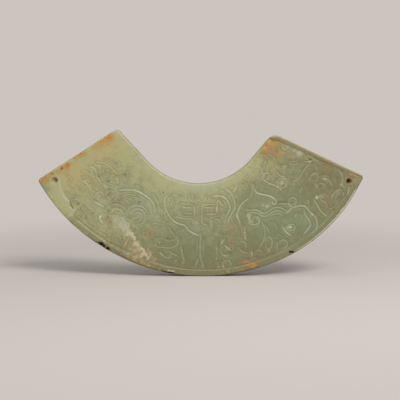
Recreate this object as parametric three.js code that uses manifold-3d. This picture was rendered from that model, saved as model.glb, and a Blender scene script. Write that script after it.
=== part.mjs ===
// Arc-shaped jade pendant plaque: one carved slab of nephrite with a hole drilled at each end.
// Millimetres, +Z up, the carved face towards -Y, the origin under the middle of the lower edge.
import * as THREE from 'three';
import { mergeVertices } from 'three/addons/utils/BufferGeometryUtils.js';
import Module from 'manifold-3d';

const wasm = await Module();
wasm.setup();

// Slab outline
const outerRadius = 66.2;       // convex lower edge
const innerRadius = 24.5;       // concave upper edge
const bandWidth = 33.0;         // lower edge to upper edge at the middle
const innerShift = -1.54;       // the upper arc's centre lies this far to the right of the lower one's
const leftSweep = 61.5;         // degrees of lower edge on each side of the middle
const rightSweep = 61.9;
const leftArc = 47.2;           // degrees of upper arc on each side, before it runs out straight
const rightArc = 50.0;
const leftFlank = 15.9;         // straight run from the upper arc to the tip
const rightFlank = 12.0;
// The lower edge was ground by eye: how far it leaves a true arc, left to right, of the band width
const wanderShares = [0.011, 0.007, -0.002, -0.001, 0, 0.002, 0.006, -0.01, -0.045];

// Slab section
const thickness = 5.0;
const edgeRound = 0.6;          // worn edge all round, front and back
const tipSoftness = 0.4;        // extra rounding where two edges meet
const rightTipWear = 1.8;       // further rounding of the worn tip above the right end
const tipClearShare = 1.25;     // edge points nearer a tip than this share of its rounding are left out

// Sunk carving ground and the plain margins around it
const groundDepth = 0.3;
const lowerMargin = 2.1;
const upperMargin = 1.4;
const leftMargin = 1.8;
const rightMargin = 2.6;
const stripWidth = 4.2;         // polished strip along the left end of the lower edge
const stripEnd = 46.6;          // degrees from the middle where the strip stops

// Step left by the saw along the right end
const ledgeWidth = 1.4;
const ledgeDepth = 1.3;

// Suspension holes, drilled from both faces, each placed from its outer corner
const holeMouth = 2.3;          // diameter at the faces
const holeWaist = 1.6;          // diameter where the two drillings meet
const leftHole = { along: 5.1, inward: 3.0 };
const rightHole = { along: 4.2, inward: 3.8 };
const holeLean = 2.0;           // each was drilled aslant: its back mouth lies this far nearer the tip

// Mesh fineness and overrun of every cut
const lowerSteps = 72;
const upperSteps = 36;
const roundSteps = 3;
const tipSteps = 4;
const holeSides = 24;
const cutOverrun = 1;

const lowerCentre = new THREE.Vector2(0, outerRadius);
const upperCentre = new THREE.Vector2(innerShift, bandWidth + innerRadius);
const wander = new THREE.SplineCurve(wanderShares.map((share) => new THREE.Vector2(0, share)));

// A point on a circle, turned from straight down, positive to the right
function turned(centre, radius, turn) {
  const angle = THREE.MathUtils.degToRad(turn);
  const arm = new THREE.Vector2(Math.sin(angle), -Math.cos(angle));
  return arm.multiplyScalar(radius).add(centre);
}

// Radius of the lower edge at a turn, with the maker's wander
function lowerRadius(turn) {
  const sweptShare = turn < 0 ? turn / leftSweep : turn / rightSweep;
  return outerRadius + bandWidth * wander.getPoint((sweptShare + 1) / 2).y;
}

// The tip at the end of a flank; side is -1 on the left and 1 on the right
function flankTip(side, radius, flank) {
  const turn = side * (side < 0 ? leftArc : rightArc);
  const angle = THREE.MathUtils.degToRad(turn);
  const away = new THREE.Vector2(Math.cos(angle), Math.sin(angle)).multiplyScalar(side * flank);
  return turned(upperCentre, radius, turn).add(away);
}

// A corner eased by a short curve that starts and ends at the same reach from it
function easedCorner(before, corner, after, reach) {
  const start = before.clone().sub(corner).setLength(reach).add(corner);
  const end = after.clone().sub(corner).setLength(reach).add(corner);
  return new THREE.QuadraticBezierCurve(start, corner, end).getPoints(tipSteps);
}

// The band's outline, drawn in from its four sides; lower is a function of the turn
function bandOutline({ lower, upper, left, right, reach }) {
  const firstTurn = -leftSweep + THREE.MathUtils.radToDeg(left / outerRadius);
  const lastTurn = rightSweep - THREE.MathUtils.radToDeg(right / outerRadius);
  const lowerEdge = [];
  for (let i = 0; i <= lowerSteps; i += 1) {
    const turn = THREE.MathUtils.lerp(firstTurn, lastTurn, i / lowerSteps);
    lowerEdge.push(turned(lowerCentre, lowerRadius(turn) - lower(turn), turn));
  }
  const upperEdge = [];
  for (let i = 0; i <= upperSteps; i += 1) {
    const turn = THREE.MathUtils.lerp(rightArc, -leftArc, i / upperSteps);
    upperEdge.push(turned(upperCentre, innerRadius + upper, turn));
  }
  const leftOuter = lowerEdge[0];
  const rightOuter = lowerEdge[lowerSteps];
  const leftTip = flankTip(-1, innerRadius + upper, leftFlank - left);
  const rightTip = flankTip(1, innerRadius + upper, rightFlank - right);
  const clearOf = (corner) => (point) => point.distanceTo(corner) > tipClearShare * reach;
  return [
    ...easedCorner(leftTip, leftOuter, lowerEdge[1], reach),
    ...lowerEdge.filter(clearOf(leftOuter)).filter(clearOf(rightOuter)),
    ...easedCorner(lowerEdge[lowerSteps - 1], rightOuter, rightTip, reach),
    ...easedCorner(rightOuter, rightTip, upperEdge[0], reach + rightTipWear),
    ...upperEdge,
    ...easedCorner(upperEdge[upperSteps], leftTip, leftOuter, reach),
  ];
}

// Stands a geometry drawn flat upright, so that its depth runs from the carved face backwards
function upright(geometry) {
  return geometry.rotateX(Math.PI / 2).translate(0, thickness / 2, 0);
}

// A cutter of a flat outline, sunk to a depth from the carved face
function faceCutter(points, depth) {
  const settings = { depth: depth + cutOverrun, bevelEnabled: false };
  const geometry = new THREE.ExtrudeGeometry(new THREE.Shape(points), settings);
  return upright(geometry.translate(0, 0, thickness - depth));
}

function toSolid(geometry) {
  const bare = geometry.clone();
  bare.deleteAttribute('normal');
  bare.deleteAttribute('uv');
  const welded = mergeVertices(bare);
  const mesh = new wasm.Mesh({
    numProp: 3,
    vertProperties: new Float32Array(welded.attributes.position.array),
    triVerts: new Uint32Array(welded.index.array),
  });
  return new wasm.Manifold(mesh);
}

function toGeometry(solid) {
  const { vertProperties, triVerts } = solid.getMesh();
  const geometry = new THREE.BufferGeometry();
  geometry.setAttribute('position', new THREE.BufferAttribute(vertProperties, 3));
  geometry.setIndex(new THREE.BufferAttribute(triVerts, 1));
  geometry.computeVertexNormals();
  return geometry;
}

// The ground slab with its worn edges
function slabSolid() {
  const reach = 2 * edgeRound + tipSoftness;
  const outline = bandOutline({ lower: () => 0, upper: 0, left: 0, right: 0, reach });
  const geometry = new THREE.ExtrudeGeometry(new THREE.Shape(outline), {
    depth: thickness - 2 * edgeRound,
    bevelThickness: edgeRound,
    bevelSize: edgeRound,
    bevelOffset: -edgeRound,
    bevelSegments: roundSteps,
  });
  return toSolid(upright(geometry.translate(0, 0, edgeRound)));
}

// The ground that the relief was carved down to, inside its plain margins
function groundCutter() {
  const outline = bandOutline({
    lower: (turn) => (turn < -stripEnd ? stripWidth : lowerMargin),
    upper: upperMargin,
    left: leftMargin,
    right: rightMargin,
    reach: tipSoftness,
  });
  return toSolid(faceCutter(outline, groundDepth));
}

// One end of the slab: its outer corner, its direction to the tip, and its direction inwards
function endFrame(side) {
  const turn = side < 0 ? -leftSweep : rightSweep;
  const corner = turned(lowerCentre, lowerRadius(turn), turn);
  const tip = flankTip(side, innerRadius, side < 0 ? leftFlank : rightFlank);
  const along = tip.clone().sub(corner);
  const length = along.length();
  along.normalize();
  const inward = new THREE.Vector2(along.y, -along.x).multiplyScalar(-side);
  return { corner, along, inward, length };
}

function placedFrom({ corner, along, inward }, alongBy, inwardBy) {
  return corner.clone().addScaledVector(along, alongBy).addScaledVector(inward, inwardBy);
}

// The step that the saw left along the right end
function ledgeCutter() {
  const end = endFrame(1);
  const far = end.length + cutOverrun;
  const outline = [
    placedFrom(end, -cutOverrun, ledgeWidth),
    placedFrom(end, -cutOverrun, -cutOverrun),
    placedFrom(end, far, -cutOverrun),
    placedFrom(end, far, ledgeWidth),
  ];
  return toSolid(faceCutter(outline, ledgeDepth));
}

// Two cones that meet in the middle of the slab, leaning from the front mouth towards the tip
function holeCutter(side, { along, inward }) {
  const mouth = holeMouth / 2;
  const waist = holeWaist / 2;
  const half = thickness / 2 + cutOverrun;
  const slope = (mouth - waist) / (thickness / 2);
  const outer = waist + slope * half;
  const profile = [[0, -half], [outer, -half], [waist, 0], [outer, half], [0, half]];
  const geometry = new THREE.LatheGeometry(profile.map(([x, y]) => new THREE.Vector2(x, y)), holeSides);
  const end = endFrame(side);
  const lean = end.along.clone().multiplyScalar(holeLean / thickness);
  const drillAxis = new THREE.Vector3(lean.x, 1, lean.y);
  const across = new THREE.Vector3(1, 0, 0);
  const upwards = new THREE.Vector3(0, 0, 1);
  geometry.applyMatrix4(new THREE.Matrix4().makeBasis(across, drillAxis, upwards));
  const middle = placedFrom(end, along + holeLean / 2, inward);
  return toSolid(geometry.translate(middle.x, 0, middle.y));
}

function plaqueMesh() {
  const solid = slabSolid()
    .subtract(groundCutter())
    .subtract(ledgeCutter())
    .subtract(holeCutter(-1, leftHole))
    .subtract(holeCutter(1, rightHole));
  const geometry = toGeometry(solid);
  geometry.computeBoundingBox();
  const { min, max } = geometry.boundingBox;
  const jade = new THREE.MeshStandardMaterial({ color: 0xa3a578, roughness: 0.38, metalness: 0 });
  const mesh = new THREE.Mesh(geometry, jade);
  mesh.name = 'jade_plaque';
  mesh.position.set(-(min.x + max.x) / 2, 0, -min.z);
  return mesh;
}

const pendant = new THREE.Group();
pendant.add(plaqueMesh());

export default pendant;
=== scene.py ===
# Carved jade arc pendant: one slab of pale green nephrite, upright, carved face to the front.
# Metres, +Z up. Pixel places are those of the 400 x 400 photograph.
import math

import bpy
import numpy as np
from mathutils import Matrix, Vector


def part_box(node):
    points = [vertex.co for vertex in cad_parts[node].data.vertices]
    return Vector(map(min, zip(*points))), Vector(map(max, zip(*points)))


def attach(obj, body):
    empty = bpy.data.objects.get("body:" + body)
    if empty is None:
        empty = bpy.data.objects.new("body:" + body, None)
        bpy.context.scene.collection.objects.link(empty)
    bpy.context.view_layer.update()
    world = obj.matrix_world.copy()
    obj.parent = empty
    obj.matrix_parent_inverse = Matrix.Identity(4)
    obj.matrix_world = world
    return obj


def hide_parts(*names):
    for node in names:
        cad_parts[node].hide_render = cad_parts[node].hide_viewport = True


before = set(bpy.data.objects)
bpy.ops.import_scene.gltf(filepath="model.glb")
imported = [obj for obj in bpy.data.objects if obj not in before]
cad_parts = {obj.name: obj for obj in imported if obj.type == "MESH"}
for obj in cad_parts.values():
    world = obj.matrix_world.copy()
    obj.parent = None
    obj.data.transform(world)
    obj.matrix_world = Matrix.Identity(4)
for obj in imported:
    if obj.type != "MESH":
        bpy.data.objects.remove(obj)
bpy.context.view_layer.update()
slabLow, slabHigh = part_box("jade_plaque")
mm = 0.001

# Where the photograph shows the slab
photo = {
    "pixel": 0.35445 * mm,            # one pixel of it, on the carved face
    "midColumn": 200.9,               # pixel column of the slab's middle
    "aimHeight": 27.33 * mm,          # height on the carved face of the picture's middle row
    "size": 400,
}
# Camera, looking down a little at the slab
view = {
    "lens": 100, "sensor": 36,        # mm
    "elevation": 5,                   # degrees above the horizon
    "nearClip": 10 * mm,
}
distance = photo["pixel"] * photo["size"] * view["lens"] / view["sensor"]
away = distance * math.cos(math.radians(view["elevation"]))
above = distance * math.sin(math.radians(view["elevation"]))
aimX = (photo["size"] / 2 - photo["midColumn"]) * photo["pixel"]


def spot(px, py):  # where the middle of a pixel of the photograph falls on the carved face, as x and z
    side = (px + 0.5 - photo["size"] / 2) * photo["pixel"]
    up = (photo["size"] / 2 - py - 0.5) * photo["pixel"]
    reach = away / (away + up * above / distance)
    return aimX + side * reach, photo["aimHeight"] + above + reach * (up * away / distance - above)


def addObject(name, data):
    obj = bpy.data.objects.new(name, data)
    bpy.context.scene.collection.objects.link(obj)
    return obj


def makeCamera():
    data = bpy.data.cameras.new("camera")
    data.lens, data.sensor_width = view["lens"], view["sensor"]
    data.clip_start = view["nearClip"]
    camera = addObject("camera", data)
    camera.location = (aimX, slabLow.y - away, photo["aimHeight"] + above)
    camera.rotation_euler = (math.pi / 2 - math.radians(view["elevation"]), 0, 0)
    bpy.context.scene.camera = camera


makeCamera()
print("camera ready")


# Small helpers for node trees: a number is set on a socket, and a socket is linked to it
def treeTools(tree):
    def feed(socket, value):
        if isinstance(value, bpy.types.NodeSocket):
            tree.links.new(value, socket)
        else:
            socket.default_value = value

    def place(kind, inputs=None, **settings):
        node = tree.nodes.new(kind)
        for name, value in settings.items():
            setattr(node, name, value)
        for name, value in (inputs or {}).items():
            feed(node.inputs[name], value)
        return node

    def calc(operation, first, second=0.0, clamp=False):
        node = place("ShaderNodeMath", {0: first, 1: second}, operation=operation, use_clamp=clamp)
        return node.outputs[0]

    def ramp(value, low, high, start=0.0, end=1.0):
        node = place("ShaderNodeMapRange", interpolation_type="SMOOTHSTEP")
        for index, entry in enumerate((value, low, high, start, end)):
            feed(node.inputs[index], entry)
        return node.outputs[0]

    return feed, place, calc, ramp


def chains(calc, *operations):  # each operation over any number of values, taken from the left
    def chain(operation):
        def run(value, *others):
            for other in others:
                value = calc(operation, value, other)
            return value
        return run

    return [chain(operation) for operation in operations]


# The slab, from the same driving sizes as the CAD solid
slab = {
    "outerRadius": 66.2 * mm, "innerRadius": 24.5 * mm, "bandWidth": 33.0 * mm, "innerShift": -1.54 * mm,
    "leftSweep": 61.5, "rightSweep": 61.9,      # degrees of lower edge each side of the middle
    "leftArc": 47.2, "rightArc": 50.0,          # degrees of upper arc before the flanks
    "leftFlank": 15.9 * mm, "rightFlank": 12.0 * mm,
    "wander": (0.011, 0.007, -0.002, -0.001, 0, 0.002, 0.006, -0.01, -0.045),  # of the band
    "tipReach": 1.6 * mm,                       # rounding of the two upper corners
    "rightTipWear": 1.8 * mm,                   # further rounding of the tip above the right end
    "leftLowShare": 0.7, "rightLowShare": 0.6,  # the lower corners are sharper: shares of that rounding
    "clearShare": 0.7,                          # share of tipReach kept free of edge points at lower corners
    "lowerSteps": 400, "upperSteps": 200,       # fineness of the two arcs
    "aimSteps": 3,                              # so many points on, the edge shows its direction at a corner
    "thickness": slabHigh.y - slabLow.y,
    "gridStep": 0.13 * mm,                      # spacing of the working grid
    "edgeZone": 0.9 * mm,                       # finer rows within this of every edge
    "edgeRows": (0, 0.05, 0.12, 0.22, 0.35, 0.5, 0.66, 0.82, 1),
    "wallRows": 8,
    "triangles": 190000,                        # after thinning
}


def splineValue(values, share):  # a smooth curve through evenly spaced values
    place = np.clip(np.asarray(share, float), 0, 1) * (len(values) - 1)
    index = np.minimum(place.astype(int), len(values) - 2)
    part = place - index
    padded = np.concatenate(([values[0]], values, [values[-1]])).astype(float)
    before, start, end, after = (padded[index + step] for step in range(4))
    slopeIn, slopeOut = (end - before) / 2, (after - start) / 2
    return (start + part * slopeIn
            + part ** 2 * (3 * (end - start) - 2 * slopeIn - slopeOut)
            + part ** 3 * (2 * (start - end) + slopeIn + slopeOut))


def runLength(points):
    return np.linalg.norm(np.diff(points, axis=0), axis=1).sum()


def turned(centre, radius, turn):  # turn in degrees from straight down, positive to the right
    angle = np.radians(turn)
    return np.stack([centre[0] + radius * np.sin(angle), centre[1] - radius * np.cos(angle)], -1)


def easedCorner(before, corner, after, reach, steps=12):
    start = corner + (before - corner) * reach / np.linalg.norm(before - corner)
    end = corner + (after - corner) * reach / np.linalg.norm(after - corner)
    part = np.linspace(0, 1, steps + 1)[:, None]
    return (1 - part) ** 2 * start + 2 * part * (1 - part) * corner + part ** 2 * end


def slabSides():  # lower, right, upper and left side of the outline, each from corner to corner
    lowerCentre = np.array([0, slab["outerRadius"]])
    upperCentre = np.array([slab["innerShift"], slab["bandWidth"] + slab["innerRadius"]])
    turn = np.linspace(-slab["leftSweep"], slab["rightSweep"], slab["lowerSteps"])
    sweep = np.where(turn < 0, turn / slab["leftSweep"], turn / slab["rightSweep"])
    radius = slab["outerRadius"] + slab["bandWidth"] * splineValue(slab["wander"], (sweep + 1) / 2)
    lower = turned(lowerCentre, radius, turn)
    upperTurn = np.linspace(slab["rightArc"], -slab["leftArc"], slab["upperSteps"])
    upper = turned(upperCentre, slab["innerRadius"], upperTurn)
    tips = []
    for side, arc, flank in ((1, "rightArc", "rightFlank"), (-1, "leftArc", "leftFlank")):
        angle = side * math.radians(slab[arc])
        away = side * slab[flank] * np.array([math.cos(angle), math.sin(angle)])
        tips.append(turned(upperCentre, slab["innerRadius"], side * slab[arc]) + away)
    rightTip, leftTip = tips
    reach, aim = slab["tipReach"], slab["aimSteps"]

    def awayFrom(points, corner):
        return points[np.linalg.norm(points - corner, axis=1) > slab["clearShare"] * reach]

    corners = {
        "leftLow": easedCorner(leftTip, lower[0], lower[aim], slab["leftLowShare"] * reach),
        "rightLow": easedCorner(lower[-1 - aim], lower[-1], rightTip, slab["rightLowShare"] * reach),
        "rightHigh": easedCorner(lower[-1], rightTip, upper[0], reach + slab["rightTipWear"]),
        "leftHigh": easedCorner(upper[-1], leftTip, lower[0], reach),
    }
    half = len(corners["leftLow"]) // 2
    lowerRun = awayFrom(awayFrom(lower, lower[0]), lower[-1])
    sides = {
        "lower": np.vstack([corners["leftLow"][half:], lowerRun, corners["rightLow"][:half + 1]]),
        "right": np.vstack([corners["rightLow"][half:], corners["rightHigh"][:half + 1]]),
        "upper": np.vstack([corners["rightHigh"][half:], upper, corners["leftHigh"][:half + 1]]),
        "left": np.vstack([corners["leftHigh"][half:], corners["leftLow"][:half + 1]]),
    }
    outline = np.vstack(list(sides.values()))
    shift = np.array([(outline[:, 0].min() + outline[:, 0].max()) / 2, outline[:, 1].min()])
    return {name: points - shift for name, points in sides.items()}


def alongSide(points, shares):  # points at the given shares of a side's length
    steps = np.linalg.norm(np.diff(points, axis=0), axis=1)
    length = np.concatenate(([0], np.cumsum(steps)))
    return np.stack([np.interp(shares * length[-1], length, points[:, axis]) for axis in (0, 1)], -1)


def gridShares(length):  # even steps, with finer rows near both ends
    zone = slab["edgeZone"]
    near = np.array(slab["edgeRows"]) * zone
    count = int(round((length - 2 * zone) / slab["gridStep"]))
    middle = np.linspace(zone, length - zone, count + 1)[1:-1]
    return np.concatenate([near, middle, length - near[::-1]]) / length


def meshFromArrays(name, vertices, quads):
    mesh = bpy.data.meshes.new(name)
    mesh.vertices.add(len(vertices))
    mesh.vertices.foreach_set("co", np.ascontiguousarray(vertices, np.float32).ravel())
    mesh.loops.add(quads.size)
    mesh.loops.foreach_set("vertex_index", quads.astype(np.int32).ravel())
    mesh.polygons.add(len(quads))
    mesh.polygons.foreach_set("loop_start", np.arange(0, quads.size, 4, dtype=np.int32))
    mesh.update(calc_edges=True)
    return mesh


def setAttribute(mesh, name, values):
    attribute = mesh.attributes.new(name, "FLOAT", "POINT")
    attribute.data.foreach_set("value", np.ascontiguousarray(values, np.float32))


def slabGrid(sides):  # closed working mesh: carved face, back and wall
    meanLength = sum(runLength(sides[name]) for name in ("lower", "upper")) / 2
    across = gridShares(meanLength)
    down = gridShares(slab["bandWidth"])
    upper = alongSide(sides["upper"][::-1], across)[:, None]
    lower = alongSide(sides["lower"], across)[:, None]
    left = alongSide(sides["left"], down)[None]
    right = alongSide(sides["right"][::-1], down)[None]
    # face and back: every point is blended from the four sides
    u, v = across[:, None, None], down[None, :, None]
    corner = ((1 - u) * ((1 - v) * upper[0, 0] + v * lower[0, 0])
              + u * ((1 - v) * upper[-1, 0] + v * lower[-1, 0]))
    flat = (1 - v) * upper + v * lower + (1 - u) * left + u * right - corner
    columns, rows = len(across), len(down)
    sheet = flat.reshape(-1, 2)
    index = np.arange(columns * rows).reshape(columns, rows)
    ring = np.concatenate([index[:-1, -1], index[-1, :0:-1], index[:0:-1, 0], index[0, :-1]])
    # the wall: rows between the rims of face and back, which are layers -1 and 1
    layers = [np.full(len(sheet), -1.0), np.full(len(sheet), 1.0)]
    places = [sheet, sheet]
    rings = [ring]
    count = 2 * len(sheet)
    for level in np.linspace(-1, 1, slab["wallRows"] + 1)[1:-1]:
        places.append(sheet[ring])
        layers.append(np.full(len(ring), level))
        rings.append(count + np.arange(len(ring)))
        count += len(ring)
    rings.append(ring + len(sheet))
    front = np.stack([index[:-1, :-1], index[:-1, 1:], index[1:, 1:], index[1:, :-1]], -1).reshape(-1, 4)
    quads = [front, front[:, ::-1] + len(sheet)]
    for near, far in zip(rings[:-1], rings[1:]):
        quads.append(np.stack([near, far, np.roll(far, -1), np.roll(near, -1)], -1))
    flatPlaces = np.vstack(places)
    vertices = np.stack([flatPlaces[:, 0], np.zeros(len(flatPlaces)), flatPlaces[:, 1]], -1)
    mesh = meshFromArrays("slabGrid", vertices, np.vstack(quads))
    setAttribute(mesh, "layer", np.concatenate(layers))
    return mesh


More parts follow.
